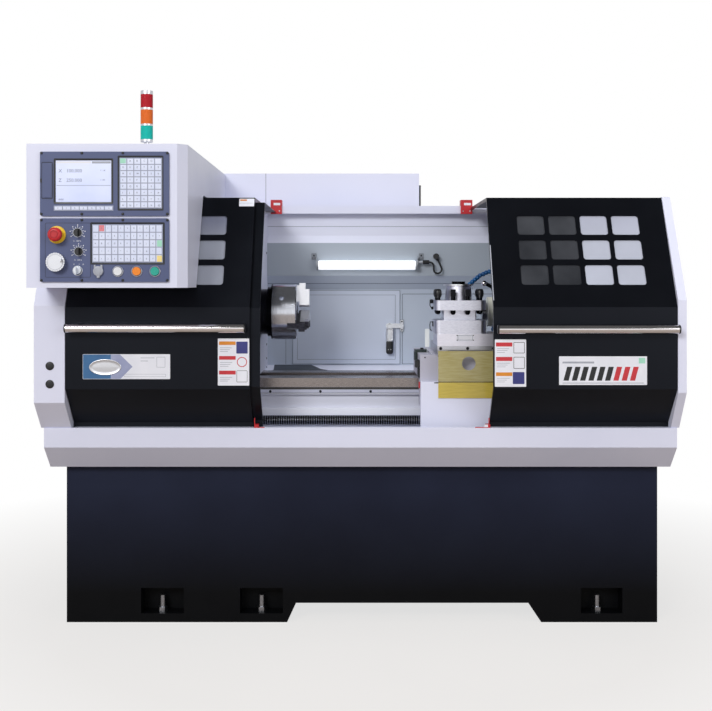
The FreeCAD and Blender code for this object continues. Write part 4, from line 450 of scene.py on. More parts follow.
# %% Rear wall
def rear_wall_paint():
    """Powder coat grey from sill to hood's fold; a seam drawn in, a fold line in painted shade."""
    material, tree, shader, place = begin("powder_coat_rear_wall")
    sill, lamp_panel_foot, hood = 0.8352, 1.1870, 1.3155
    grey = layered(tree, mottled(tree, place, 380, ("#bdc7d6", "#b2bccd")),
                   (zone(tree, place, Z=(lamp_panel_foot, FAR)), "#a2abb7"))
    tone = layered(tree, "#dcdff0", (zone(tree, place, Z=(sill, hood)), grey),
                   (zone(tree, place, Z=(1.3797, 1.3815)), "#7b8494"),
                   # The dark line at 1154.6 to 1157.4 mm is painted shade in a fold.
                   (zone(tree, place, Z=(1.1546, 1.1574)), "#7b8494"))
    wire(tree, shader, {"Base Color": tone, **sprayed(tree, place, (0.40, 0.50))})
    return material


REAR_WALL = rear_wall_paint()
print("rear wall:", REAR_WALL.name)

# %% [markdown]
# ## Covers and cabinet
# The outer sides of the end covers have a service panel held by four flush screws, the cabinet is
# folded from two sheets that meet in a butt joint, and its door has pressed louvres and two flush
# locks. They could be meshes that stand out, but the covers' sides and the door's back are the
# limits of the machine's box, so the marks lie in the finish, as does the thin joint. The dark
# slots under the louvres are painted shade.


# %% End covers
def end_cover_paint():
    """White powder coat; either outer side has a panel's seam, 2.4 mm wide, and four screws."""
    material, tree, shader, place = begin("powder_coat_end_cover")
    half_depth, half_height, seam, mark_and_shade_dark = 0.240, 0.250, 0.0024, "#5d6170"
    white = mottled(tree, place, PATCH_MM, POWDER_TONES)
    away = mirrored(tree, place, (0.0, 0.035, 1.100))
    around, inside = (zone(tree, away, X=(1.0585, FAR), Y=(step - half_depth, half_depth - step),
                           Z=(step - half_height, half_height - step)) for step in (0.0, seam))
    screws = dot(tree, away, "YZ", (0.220, 0.230), 0.0052)
    tone = layered(tree, white, (around, mark_and_shade_dark), (inside, layered(tree, white, (screws, mark_and_shade_dark))))
    wire(tree, shader, {"Base Color": tone, **sprayed(tree, place)})
    return material


END_COVER = end_cover_paint()
print("end covers:", END_COVER.name)


# %% Cabinet shell
def cabinet_shell_paint():
    """White powder coat, with the butt joint of two sheets at X -374 mm on the front."""
    material, tree, shader, place = begin("powder_coat_cabinet_shell")
    joint = zone(tree, place, X=(-0.3753, -0.3727), Y=(-FAR, 0.4015))
    tone = layered(tree, mottled(tree, place, PATCH_MM, POWDER_TONES), (joint, "#9397a8"))
    wire(tree, shader, {"Base Color": tone, **sprayed(tree, place)})
    return material


CABINET_SHELL = cabinet_shell_paint()
print("cabinet shell:", CABINET_SHELL.name)


# %% Cabinet door
def cabinet_door_paint():
    """White powder coat, with louvres pressed in 14 mm apart and two flush locks at the edge."""
    material, tree, shader, place = begin("powder_coat_cabinet_door")
    pitch, gap, back, mark_and_shade_dark = 0.014, 0.0045, 0.665, "#2b2e37"
    white = mottled(tree, place, PATCH_MM, POWDER_TONES)
    height = add(tree, "SeparateXYZ", {"Vector": place}, out="Z")
    row = add(tree, "Math", {0: height, 1: pitch}, operation="MODULO")
    # The louvres' dark slots are painted shade in their openings.
    louvre_slot_shade = add(tree, "Math", {0: row, 1: gap}, operation="LESS_THAN")
    fields = zone(tree, mirrored(tree, place, (-0.390, 0.0, 1.150)), X=(0.245, 0.415),
                  Z=(0.240, 0.380))
    marked = layered(tree, white, (fields, layered(tree, white, (louvre_slot_shade, mark_and_shade_dark))))
    for z in (0.900, 1.400):
        for r, tone in ((0.0136, mark_and_shade_dark), (0.0104, white), (0.0034, mark_and_shade_dark)):
            marked = layered(tree, marked, (dot(tree, place, "XZ", (0.205, z), r), tone))
    pressed = add(tree, "Math", {0: fields, 1: row}, operation="MULTIPLY")
    wire(tree, shader, {
        "Base Color": layered(tree, white, (zone(tree, place, Y=(back, FAR)), marked)),
        "Roughness": drift(tree, place, GLOSS_MM, 0.36, 0.46),
        "Normal": add(tree, "Bump", {"Height": pressed, "Strength": 0.8, "Distance": 1.0})})
    return material


CABINET_DOOR = cabinet_door_paint()
print("cabinet door:", CABINET_DOOR.name)

# %% [markdown]
# ## Clear and dyed plastics
# The tower's lenses are dyed acrylic with moulded ribs, the carriage's guard is yellow PVC sheet,
# and the doors' windows are smoked polycarbonate. Full glass with light passing through would be
# the usual way, but it turns noisy in few samples. The lenses and panes are therefore opaque in
# the tone that shows through them, and only the guard lets a part of the light past. On the panes
# that tone is painted light and shade of what stands behind them.


# %% Tower lenses
def signal_lenses():
    """Dyed acrylic, ribbed every 4 mm; green, amber and red from the bottom."""
    material, tree, shader, place = begin("signal_acrylic")
    ribs = ripples(tree, place, "Z", 4.002)
    shine = add(tree, "MapRange", {"Value": ribs, "From Min": -1.0, "To Min": 0.0, "To Max": 0.02})
    tone = layered(tree, "#08b3a4", (zone(tree, place, Z=(1.673, FAR)), "#de6a26"),
                   (zone(tree, place, Z=(1.7255, FAR)), "#b01727"), (shine, "#ffe6dc"))
    wire(tree, shader, {
        "Base Color": tone, "Roughness": 0.25, "IOR": 1.49, "Specular IOR Level": 0.15,
        "Normal": add(tree, "Bump", {"Height": ribs, "Strength": 0.5, "Distance": 0.8 * MM})})
    return material


LENSES = signal_lenses()
print("tower:", LENSES.name)


# %% Way guard
def way_guard_sheet():
    """PVC sheet: yellow and see-through above a line at 825 mm, two layers deep below it."""
    material, tree, shader, place = begin("yellow_pvc_sheet")
    clear = zone(tree, place, Z=(0.8255, FAR))
    scratches = drift(tree, place, 40, 0.0, 1.0, 5.0, (1, 1, 9))
    tone = layered(tree, layered(tree, "#bba644", (scratches, "#cbb652")),
                   (clear, layered(tree, "#b0a463", (scratches, "#c2b881"))),
                   (zone(tree, place, Z=(0.8238, 0.8266)), "#24211a"))
    wire(tree, shader, {
        "Base Color": tone, "Roughness": 0.3, "IOR": 1.53, "Coat Weight": 0.3,
        "Alpha": add(tree, "MapRange", {"Value": clear, "To Min": 0.97, "To Max": 0.70}),
        "Normal": add(tree, "Bump", {"Height": drift(tree, place, 6, 0.0, 1.0), "Strength": 0.4,
                                     "Distance": 0.05 * MM})})
    return material


GUARD = way_guard_sheet()
print("guard:", GUARD.name)


# %% Door panes
def smoked_panes(name, pale_from, pale, foot):
    """Windows: painted shade, and past pale_from painted light on a guard, lighter at its foot."""
    material, tree, shader, place = begin(name)
    behind = layered(tree, pale, (slope(tree, place, "Z", 1.37, 1.29), foot))
    # The dark tone is painted shade of the space behind the windows; the pale one is painted light
    # on the guard behind them, lighter at its foot.
    tone = layered(tree, "#2a2c31", (zone(tree, place, X=(pale_from, FAR)), behind),
                   (drift(tree, place, 160, 0.0, 0.18), "#7d8088"))
    wire(tree, shader, {
        "Base Color": tone, "Roughness": 0.2, "IOR": 1.58, "Specular IOR Level": 0.25,
        "Normal": add(tree, "Bump", {"Height": drift(tree, place, 220, 0.0, 1.0),
                                     "Strength": 0.2, "Distance": 0.6 * MM})})
    return material


PANES_RIGHT = smoked_panes("smoked_polycarbonate_right", 0.735, "#adb0c1", "#b3b7c6")
PANES_LEFT = smoked_panes("smoked_polycarbonate_left", -2.0, "#82869a", "#a3a8b6")
print("panes:", PANES_RIGHT.name, PANES_LEFT.name)

# %% [markdown]
# ## Lamp, display, keys and thread
# The lamp is a frosted tube between grey caps, and the display is lit from behind: both give off
# a little light of their own. The keypads are polyester film over domed keys, pale on the keys
# and darker between them. The ball screws show bright lands between grooves darkened as painted
# shade; a thread cut into the mesh would be finer than a pixel, so its pitch lies in tone and
# relief.


# %% Lamp tube
def lamp_tube():
    """Frosted acrylic, lit from 160 mm left to 217 mm right; grey caps, clips and a black plug."""
    material, tree, shader, place = begin("lamp_frosted_acrylic")
    clip_foot, plug_from = 1.2462, 0.2465
    lit = zone(tree, place, X=(-0.1600, 0.2170), Z=(0.0, clip_foot))
    glow = mottled(tree, place, 120, ("#ffffff", "#f6fbff"))
    tone = layered(tree, mottled(tree, place, 8, ("#aeb3bb", "#9ba0a9")),
                   (zone(tree, place, Z=(clip_foot, FAR)), "#8d939d"),
                   (zone(tree, place, X=(plug_from, FAR)), "#15161a"), (lit, glow))
    wire(tree, shader, {"Base Color": tone, "Roughness": 0.35, "Emission Color": glow,
                        "Emission Strength": lit})
    return material


LAMP = lamp_tube()
print("lamp:", LAMP.name)


# %% Display and key film
def display_glass():
    """Lit display behind glass: pale blue, lighter towards its top."""
    material, tree, shader, place = begin("display_glass")
    tone = layered(tree, "#c3cdf2", (slope(tree, place, "Z", 1.41, 1.538), "#d5ddf8"),
                   (drift(tree, place, 90, 0.0, 0.4), "#e3e8fb"))
    wire(tree, shader, {"Base Color": tone, "Roughness": 0.12, "Coat Weight": 0.5,
                        "Emission Color": tone, "Emission Strength": 0.16})
    return material


def key_film():
    """Polyester film: what lies behind Y -630.2 mm is the darker sheet between the keys."""
    material, tree, shader, place = begin("polyester_key_film")
    tone = layered(tree, mottled(tree, place, 40, ("#dde3f7", "#d2d9f0")),
                   (zone(tree, place, Y=(-0.6302, FAR)), "#9aa1b8"))
    wire(tree, shader, {
        "Base Color": tone, "Roughness": 0.42,
        "Normal": add(tree, "Bump", {"Height": drift(tree, place, 0.9, 0.0, 1.0),
                                     "Strength": 0.3, "Distance": 0.01 * MM})})
    return material


DISPLAY, KEY_FILM = display_glass(), key_film()
print("panel:", DISPLAY.name, KEY_FILM.name)


# %% Ball screws
def screw_thread():
    """Ground ball screw: an 8 mm pitch sine, bright lands and grooves in painted shade."""
    material, tree, shader, place = begin("ball_screw_steel")
    thread_relief_and_shade = add(tree, "MapRange", {"Value": ripples(tree, place, "X", 8.0), "From Min": 0.1,
                                  "From Max": 0.8})
    wire(tree, shader, {
        # The near black of the grooves is painted shade.
        "Base Color": layered(tree, "#0e0f12", (thread_relief_and_shade, "#9a9ca5")), "Roughness": 0.22,
        "Metallic": 0.9,
        "Normal": add(tree, "Bump", {"Height": thread_relief_and_shade, "Strength": 1.0, "Distance": 1.6 * MM})})
    return material


THREAD = screw_thread()
print(len(bpy.data.materials), "materials in all")

# %% [markdown]
# ## Dressing the CAD pieces
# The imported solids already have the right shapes. Each could be modelled again as a mesh, but a
# second shape could differ from the first, so they stay and only get their finish.

# %% Finishes of the CAD pieces
CAD_FINISH = {
    "base": BASE_ENAMEL, "levelling_bolts": TURNED, "chip_tray": POWDER_TRAY, "bed": BED,
    "headstock": CASTING_PALE, "main_motor": PANEL_GREY, "drive_belts": BELT,
    "z_servo_motor": NYLON_BLACK, "left_cover": END_COVER, "left_guard": POWDER_WHITE,
    "right_cover": END_COVER, "rear_wall": REAR_WALL, "service_door": HATCH_GREY,
    "door_beam": POWDER_WHITE, "door_switches": RED, "work_lamp": LAMP, "lamp_cable": RUBBER,
    "electrical_cabinet": CABINET_SHELL, "cabinet_door": CABINET_DOOR,
    "control_housing": POWDER_WHITE, "control_panels": PANEL_GREY, "screen": DISPLAY,
    "keypads": KEY_FILM, "tower_base": ALUMINIUM, "tower_lenses": LENSES, "spindle": SPINDLE_STEEL,
    "chuck_body": CHUCK_STEEL, "chuck_jaw_1": JAW_LIT, "chuck_jaw_2": JAW_SHADED_AND_LIT,
    "chuck_jaw_3": JAW_SHADED_AND_LIT, "motor_pulley": TURNED, "z_ball_screw": THREAD,
    "saddle": CASTING_PALE, "apron_cover": POWDER_WHITE, "way_guard": GUARD,
    "x_servo_motor": NYLON_BLACK, "coolant_hose": HOSE_BLUE, "x_ball_screw": THREAD,
    "cross_slide": GROUND, "turret_base": TOOL_STEEL, "turret_head": TOOL_HEAD,
    "turret_screws": BLACK_OXIDE, "tailstock_body": CASTING_CREAM, "tailstock_quill": TURNED,
    "tailstock_handwheel": CHROME, "left_door": POWDER_BLACK, "left_door_panes": PANES_LEFT,
    "left_door_handle": CHROME, "right_door": POWDER_BLACK, "right_door_panes": PANES_RIGHT,
    "right_door_handle": CHROME, "latch_handle": STAINLESS, "estop_button": RED,
    "hand_dial": ALUMINIUM, "feed_selector": NYLON_BLACK, "speed_selector": NYLON_BLACK,
    "key_switch": STAINLESS, "button_white": WHITE_CAP, "button_orange": ORANGE_CAP,
    "button_green": GREEN_CAP,
}
for name, finish in CAD_FINISH.items():
    mesh = nodes[name].data
    mesh.materials.clear()
    mesh.materials.append(finish)
lamp_flex.data.materials.append(RUBBER)
print(len(CAD_FINISH), "CAD pieces dressed; bare:", sorted(set(nodes) - set(CAD_FINISH)))

# %% [markdown]
# ## Surfaces from arrays
# Every new piece is a stack of outlines. An outline is a closed row of points (u, v) that can be
# drawn in by some distance; a ring is that outline at a height above the face that carries it.
# Skinning the rings gives walls, rounded edges and recesses, and a cap closes either end. The
# signed volume, a third of the sum of each triangle's corner dotted with its area, tells
# whether the faces point outwards; where it is negative, their order is turned round.


# %% Outlines
def rounded(u, v, r, steps=4):
    """Outline of a rounded rectangle: four quarter circles of radius r, joined by straight runs."""
    def outline(inset=0.0):
        reach = max(r - inset, 0.2 * r)
        turns = np.linspace(0, np.pi / 2, steps) + np.arange(4)[:, None] * np.pi / 2
        corner = np.array([(u[1], v[1]), (u[0], v[1]), (u[0], v[0]), (u[1], v[0])], float)
        centre = corner + (inset + reach) * np.array([(-1, -1), (1, -1), (1, 1), (-1, 1)])
        arcs = reach * np.stack([np.cos(turns), np.sin(turns)], -1)
        return (centre[:, None] + arcs).reshape(-1, 2)
    return outline


def oval(u, v, reach, steps=44):
    """Outline of an ellipse: (a cos t, b sin t) about (u, v), both half axes drawn in alike."""
    def outline(inset=0.0):
        turns = np.linspace(0, 2 * np.pi, steps, endpoint=False)
        return np.stack([u + (reach[0] - inset) * np.cos(turns),
                         v + (reach[1] - inset) * np.sin(turns)], -1)
    return outline


def circle(u, v, r, steps=24):
    """Outline of a circle: an ellipse whose half axes are both r."""
    return oval(u, v, (r, r), steps)


def polygon(points):
    """Outline through given corners, drawn in towards their middle."""
    corners = np.array(points, float)

    def outline(inset=0.0):
        middle = corners.mean(0)
        arms = corners - middle
        length = np.linalg.norm(arms, axis=1, keepdims=True)
        return middle + arms * (1 - inset / length)
    return outline


print("points round a rounded rectangle:", len(rounded((0, 9), (0, 9), 1)()))

# %% Planes
FACES = {
    "front": ((1, 0, 0), (0, 0, 1), (0, -1, 0)), "left": ((0, 1, 0), (0, 0, 1), (-1, 0, 0)),
    "right": ((0, 1, 0), (0, 0, 1), (1, 0, 0)), "top": ((1, 0, 0), (0, 1, 0), (0, 0, 1)),
    "under": ((1, 0, 0), (0, 1, 0), (0, 0, -1)),
}    # for each side: the directions of u, of v and outwards


def face(side, at):
    """The plane of one side of the machine at a place along its outward axis."""
    u, v, out = (np.array(a, float) for a in FACES[side])
    return np.abs(out) * at, u, v, out


def tilted(low, high):
    """A plane that runs along X and leans from (y, z) low to (y, z) high; v starts at 0 at low."""
    run = np.array([0, high[0] - low[0], high[1] - low[1]], float)
    v = run / np.linalg.norm(run)
    start = np.array([0, low[0], low[1]], float)
    return start, np.array([1.0, 0, 0]), v, np.array([0, -v[2], v[1]])


print("planes:", ", ".join(FACES))


# %% Skins
def skin(rings, ring=False):
    """Faces between neighbouring rings of points (levels, points, 3), with capped ends."""
    levels, count = rings.shape[:2]
    steps = levels if ring else levels - 1
    i, j = np.meshgrid(np.arange(steps), np.arange(count), indexing="ij")
    here, there = i * count, (i + 1) % levels * count
    step = (j + 1) % count
    quads = np.stack([here + j, here + step, there + step, there + j], -1).reshape(-1, 4)
    points = rings.reshape(-1, 3)
    faces = quads.tolist()
    if not ring:
        faces += [list(range(count))[::-1], list(range((levels - 1) * count, levels * count))]
    tri = np.array([(f[0], a, b) for f in faces for a, b in zip(f[1:], f[2:])])
    a, b, c = points[tri[:, 0]], points[tri[:, 1]], points[tri[:, 2]]
    if np.einsum("ij,ij->", a, np.cross(b, c)) < 0:
        faces = [f[::-1] for f in faces]
    return points, faces


def raised(outline, levels, plane, ring=False):
    """A stack of rings on a plane: levels are (inset, height) pairs in millimetres."""
    origin, u, v, out = plane
    rings = [origin + outline(inset) @ np.stack([u, v]) + height * out for inset, height in levels]
    return skin(np.array(rings), ring)


print("a square prism has", len(raised(polygon([(0, 0), (9, 0), (9, 9), (0, 9)]),
                                       [(0, 0), (0, 9)], face("top", 0))[1]), "faces")


# %% Plates, frames and screws
def plate(outline, thickness, plane, edge=0.4):
    """A thin plate with a broken edge, seated on its plane."""
    return raised(outline, [(0, 0), (0, thickness - edge), (edge, thickness)], plane)


def bezel(outline, width, height, plane, edge=0.4):
    """A frame: out along the rim, over it, down inside and back under."""
    return raised(outline, [(0, 0), (0, height - edge), (edge, height), (width - edge, height),
                            (width, height - edge), (width, 0)], plane, ring=True)


def screw_head(u, v, r, rise, plane):
    """Button-head screw: a low dome with a sunk socket in its middle."""
    return raised(circle(u, v, r, 16),
                  [(0, 0), (0, 0.35 * rise), (0.12 * r, 0.75 * rise), (0.4 * r, rise),
                   (0.55 * r, rise), (0.58 * r, 0.3 * rise)], plane)


print("a screw head has", len(screw_head(0, 0, 4, 2, face("top", 0))[1]), "faces")


# %% Lettering
def letters(words, size, u, v, plane, rise=0.25):
    """Plain lettering from the built-in font, its left end at u and its foot at v."""
    line = bpy.data.curves.new("lettering", "FONT")
    line.body = words
    line.size = size
    line.extrude = rise / 2
    line.resolution_u = 2
    holder = bpy.data.objects.new("lettering", line)
    scene.collection.objects.link(holder)
    made = bpy.data.meshes.new_from_object(holder)
    flat = np.empty(len(made.vertices) * 3)
    made.vertices.foreach_get("co", flat)
    faces = [tuple(p.vertices) for p in made.polygons]
    bpy.data.objects.remove(holder)
    bpy.data.curves.remove(line)
    bpy.data.meshes.remove(made)
    origin, along_u, along_v, out = plane
    points = flat.reshape(-1, 3) + (u, v, rise / 2)
    return origin + points @ np.stack([along_u, along_v, out]), faces


print("a figure 8 has", len(letters("8", 10, 0, 0, face("top", 0))[1]), "faces")

# %% Joining shapes into pieces
SMOOTH_UNDER = math.radians(40)    # edges flatter than this are shaded round


def assemble(name, body, parts):
    """Join shapes in millimetres, each with its finish, into one piece that rides a CAD body."""
    points, faces, finishes, which = [], [], [], []
    for (shape, corners), finish in parts:
        start = sum(len(p) for p in points)
        points.append(shape)
        faces += [[start + c for c in f] for f in corners]
        if finish not in finishes:
            finishes.append(finish)
        which += [finishes.index(finish)] * len(corners)
    mesh = bpy.data.meshes.new(name)
    mesh.from_pydata((np.concatenate(points) * MM).tolist(), [], faces)
    for finish in finishes:
        mesh.materials.append(finish)
    mesh.polygons.foreach_set("material_index", which)
    mesh.shade_smooth()
    mesh.set_sharp_from_angle(angle=SMOOTH_UNDER)
    mesh.update()
    piece = bpy.data.objects.new(name, mesh)
    scene.collection.objects.link(piece)
    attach(piece, body)
    print(f"{name}: {len(faces)} faces on {body}")


# %% [markdown]
# ## Control panel: screws, gaskets and scales
# Two grey-blue plates are screwed to the housing. The screen and both keypads sit in dark
# gaskets, and white ticks are printed round the two selectors. A picture could carry the ticks,
# but each is a short bar turned about the selector's axis, so that its edges stay sharp.

# %% Panel screws and gaskets
PANEL_FACE = -628.0
panel = face("front", PANEL_FACE)
SCREW_X = (-981.5, -857.0, -731.0, -594.0)
SCREW_Z = (1560.5, 1373.0, 1354.5, 1169.0)
assemble("panel_screws", "machine",
         [(screw_head(x, z, 4.4, 2.2, panel), NYLON_BLACK) for x in SCREW_X for z in SCREW_Z])

SCREEN_FRAME = rounded((-943.5, -760.5), (1404.0, 1544.0), 3.0)
KEYS_FRAME_UP = rounded((-747.0, -606.0), (1383.5, 1552.5), 3.0)
KEYS_FRAME_LOW = rounded((-831.0, -602.0), (1217.5, 1347.5), 3.0)
assemble("panel_gaskets", "machine", [
    (bezel(SCREEN_FRAME, 5.8, 0.9, panel), LABEL_BLACK),
    (bezel(KEYS_FRAME_UP, 5.6, 0.9, panel), GASKET),
    (bezel(KEYS_FRAME_LOW, 5.6, 0.9, panel), GASKET),
    (bezel(rounded((-981.2, -945.8), (1419.2, 1533.0), 4.0), 2.0, 0.6, panel), GASKET),
    (bezel(rounded((-970.0, -830.0), (1178.0, 1346.0), 4.0), 1.2, 0.4, panel), GASKET),
    (plate(rounded((-984.6, -979.0), (1470.0, 1482.0), 1.0), 2.6, panel), NYLON_BLACK),
])


# %% Selector scales
def ticks(u, v, r, length, angles, width, plane):
    """Short bars set radially round (u, v): each is a rectangle turned by its angle."""
    shapes = []
    for angle in np.radians(angles):
        out = np.array([np.sin(angle), np.cos(angle)])
        side = np.array([out[1], -out[0]]) * width / 2
        inner = np.array([u, v]) + out * r
        outer = inner + out * length
        shapes.append(raised(polygon([inner - side, inner + side, outer + side, outer - side]),
                             [(0, 0), (0, 0.4)], plane))
    return shapes


SELECTORS = ((-870.0, 1316.0), (-867.0, 1258.0))
MARKS = (("0 - 100 %", 6.0, -883.0, 1288.0), ("0 - 100 %", 6.0, -880.0, 1229.5),
         ("0", 7.0, -883.0, 1216.0), ("I", 7.0, -866.0, 1216.0), ("A", 7.0, -855.0, 1216.0))
scale_parts = []
for u, v in SELECTORS:
    bars = (ticks(u, v, 15.5, 4.0, range(-120, 121, 24), 1.4, panel)
            + ticks(u, v, 21.5, 3.2, range(-120, 121, 40), 2.6, panel))
    scale_parts += [(bar, MARK_WHITE) for bar in bars]
    scale_parts.append((bezel(circle(u, v, 14.6), 1.6, 0.8, panel), STAINLESS))
scale_parts += [(letters(*mark, panel), MARK_WHITE) for mark in MARKS]
assemble("selector_scales", "machine", scale_parts)

# %% [markdown]
# ## Control panel: screen figures and key legends
# The display shows two plain axis readings. Their figures, the head bar and the dividing line
# are thin meshes just in front of the glass. Key legends are small figures and signs, laid out
# by the keypads' own pitch.

# %% Screen figures
glass = face("front", -627.0)
SCREEN_BARS = (((-935.5, -828.0), (1528.5, 1535.0), 1.0, LABEL_WHITE),
               ((-826.0, -768.5), (1528.5, 1535.0), 1.0, LABEL_GREY),
               ((-935.5, -768.5), (1460.6, 1461.8), 0.5, SCREEN_INK))
READINGS = (("X", 15.0, -929.0, 1501.0), ("100.000", 15.0, -905.0, 1501.0),
            ("Z", 15.0, -929.0, 1472.0), ("250.000", 15.0, -905.0, 1472.0),
            ("0000", 8.0, -929.0, 1415.0), ("F  100", 6.0, -800.0, 1505.0),
            ("S  800", 6.0, -800.0, 1476.0))
assemble("screen_figures", "machine",
         [(plate(rounded(u, v, r), 0.2, glass, 0.05), finish) for u, v, r, finish in SCREEN_BARS]
         + [(letters(*reading, glass), SCREEN_INK) for reading in READINGS])

# %% Key legends
KEY_TOP = face("front", -630.5)


def key_places(u, v, counts):
    """Middle of each key of a keypad, from its top left: the area divided by its counts."""
    pitch = (u[1] - u[0]) / counts[0], (v[1] - v[0]) / counts[1]
    columns, rows = np.meshgrid(np.arange(counts[0]), np.arange(counts[1]))
    return np.stack([u[0] + (columns.ravel() + 0.5) * pitch[0],
                     v[1] - (rows.ravel() + 0.5) * pitch[1]], -1), pitch


def legends(places, signs, size):
    """One small sign to each key."""
    return [(letters(s, size, u - 0.32 * size, v - 0.35 * size, KEY_TOP, 0.15), INK)
            for (u, v), s in zip(places, signs) if s != " "]


UPPER_KEYS, upper_pitch = key_places((-741.0, -610.0), (1390.0, 1546.0), (6, 8))
LOWER_KEYS, lower_pitch = key_places((-825.0, -608.0), (1224.0, 1341.0), (11, 5))
SOFT_KEYS = key_places((-943.0, -760.0), (1383.0, 1399.0), (7, 1))[0]
assemble("key_legends", "machine",
         legends(UPPER_KEYS, " ABCD GXZ789MUW456STF123PQR-0.IJK+=#LVYE><HN^v%@", 8.0)
         + legends(LOWER_KEYS, " 0IIIVXLCD 1234567890+ABCDEFGHJK -+<>^v%=#*.0123456789", 7.0)
         + legends(SOFT_KEYS, "<12345>", 8.0))


# %% Coloured keys
def key_cap(places, index, pitch, finish):
    """A coloured print over one key, 2.2 mm inside its edges."""
    u, v = places[index]
    half = (pitch[0] / 2 - 2.2, pitch[1] / 2 - 2.2)
    shape = rounded((u - half[0], u + half[0]), (v - half[1], v + half[1]), 1.2)
    return plate(shape, 0.12, KEY_TOP, 0.04), finish


assemble("key_colours", "machine", [
    key_cap(LOWER_KEYS, 1, lower_pitch, KEY_RED), key_cap(LOWER_KEYS, 32, lower_pitch, KEY_GREEN),
    key_cap(LOWER_KEYS, 54, lower_pitch, KEY_YELLOW),
    key_cap(UPPER_KEYS, 0, upper_pitch, KEY_GREEN)])

# %% [markdown]
# ## Control panel: stop, buttons and socket
# The red stop button stands on a yellow ring. The three push buttons and the key switch have
# bright bezels, and the data socket has a hinged round lid. Each could be a stack of cylinders,
# but a profile carried round a circle gives its steps and broken edges in one surface.

# %% Stop ring and button bezels
STOP = (-933.0, 1309.0)
stop_profile = [(0, 0), (0, 4.4), (1.2, 5.2), (13.2, 5.2), (13.2, 0)]
assemble("stop_ring", "machine", [
    (raised(circle(*STOP, 27.0, 40), stop_profile, panel, ring=True), YELLOW)])
bezels = [(bezel(circle(u, 1197.0, 16.9, 36), 2.6, 3.6, panel, 1.0), STAINLESS)
          for u in (-746.0, -688.0, -632.0)]
bezels.append((bezel(circle(-870.0, 1199.0, 15.5, 36), 2.6, 2.4, panel, 0.8), STAINLESS))
assemble("button_bezels", "machine", bezels)

# %% Data socket
socket = face("front", -633.0)
SUNK = -5.0
LID = [(0, SUNK), (0, 1.6), (1.0, 2.4), (5.0, 2.4), (5.6, 1.6), (6.5, 2.6), (13.0, 3.2)]
LUGS = (((-819.0, -813.5), (1206.0, 1216.5), 2.0, 1.4),
        ((-798.5, -793.0), (1206.0, 1216.5), 2.0, 1.4),
        ((-810.5, -801.5), (1176.5, 1184.0), 2.5, 1.0))
lid_parts = [raised(circle(-806.0, 1197.5, 15.2, 32), LID, socket)]
lid_parts += [raised(rounded(u, v, r), [(0, SUNK), (0, rise), (0.8, rise + 0.6)], socket)
              for u, v, r, rise in LUGS]
assemble("data_socket_lid", "machine", [(part, LABEL_GREY) for part in lid_parts])

# %% Marks on the stop and the dial
assemble("stop_marks", "stop_button", [
    (bezel(circle(*STOP, 11.6, 32), 1.4, 0.3, face("front", -665.7), 0.1), LABEL_RED)])
DIAL = (-934.0, 1225.0)
dial = face("front", -648.3)
dial_ring = raised(circle(*DIAL, 24.0, 40), [(0, 0), (0, 0.5), (1.0, 0.5), (1.0, 0)], dial, True)
assemble("dial_marks", "hand_dial", [
    (shape, LABEL_GREY)
    for shape in [dial_ring, *ticks(*DIAL, 24.6, 2.6, range(0, 360, 15), 0.8, dial)]])

# %% [markdown]
# ## Doors: plates
# The doors carry plates of printed film: one wide and one narrow on each upright face, and a
# small one on the left door's slope. They stay blank or get plain blocks of colour. A print is a
# film of its own, 0.15 mm thick, because a flat picture would need an image.


# %% Prints on a plane
FILM = 0.15          # thickness of a print
PLATE = 0.5          # thickness of a plate
DOOR_FACE = -432.0
door = face("front", DOOR_FACE)
film = face("front", DOOR_FACE - PLATE)
brow = tilted((DOOR_FACE, 1082.0), (-236.0, 1452.0))


def block(u, v, finish, plane, rise=FILM, r=0.6):
    """A printed or raised bar with small corners."""
    return plate(rounded(u, v, r), rise, plane, min(0.3 * rise, 0.4)), finish


def patch(points, finish):
    """A print with straight edges through given corners."""
    return plate(polygon(points), FILM, film, 0.05), finish


def line(outline, width, finish):
    """A printed line of some width, just inside an outline."""
    return bezel(outline, width, 0.2, film, 0.05), finish


def rows(left, ends):
    """Thin grey bars in place of text: each has its foot and its right end."""
    return [block((left, u), (z, z + 1.6), LABEL_GREY, film) for z, u in ends]


print("prints lie on the plane Y", DOOR_FACE - PLATE)

# %% Left door's plates
BADGE = [(0, 0), (0, 1.4), (0.8, 2.0), (2.4, 2.0), (3.4, 1.5), (12, 1.9), (25.5, 2.2)]
wide_plate = [
    block((-902, -618), (848, 929), LABEL_WHITE, door, PLATE, 2.0),
    patch([(-901, 849), (-811, 849), (-811, 928), (-901, 928)], LABEL_BLUE),
    patch([(-811, 849), (-779, 849), (-740, 888.5), (-781, 928), (-811, 928)], LABEL_LILAC),
    (raised(oval(-829, 886.7, (52.2, 26.0)), BADGE, film), ALUMINIUM),
    line(rounded((-768, -632), (855.5, 864.5), 1.5), 1.0, LABEL_GREY),
    line(rounded((-662, -634), (886, 920), 1.5), 1.2, LABEL_GREY),
    block((-714, -669), (916, 918), LABEL_GREY, film),
    block((-714, -690), (906, 908), LABEL_GREY, film)]
narrow_plate = [
    block((-463, -361), (827, 980), LABEL_WHITE, door, PLATE, 2.0),
    block((-459, -405), (959, 970.5), LABEL_ORANGE, film),
    block((-459, -405), (911, 923), LABEL_RED, film),
    block((-459, -405), (863, 875.5), LABEL_RED, film),
    block((-403, -366), (931, 970), LABEL_INDIGO, film, r=2.0),
    line(circle(-384.5, 903.5, 16.5), 2.6, LABEL_RED),
    line(rounded((-402, -367), (838, 876), 2.0), 1.2, LABEL_BLACK),
    *rows(-456, ((949, -418), (943, -424), (937, -430), (901, -416), (895, -422), (889, -428),
                 (853, -416), (847, -424), (841, -430)))]
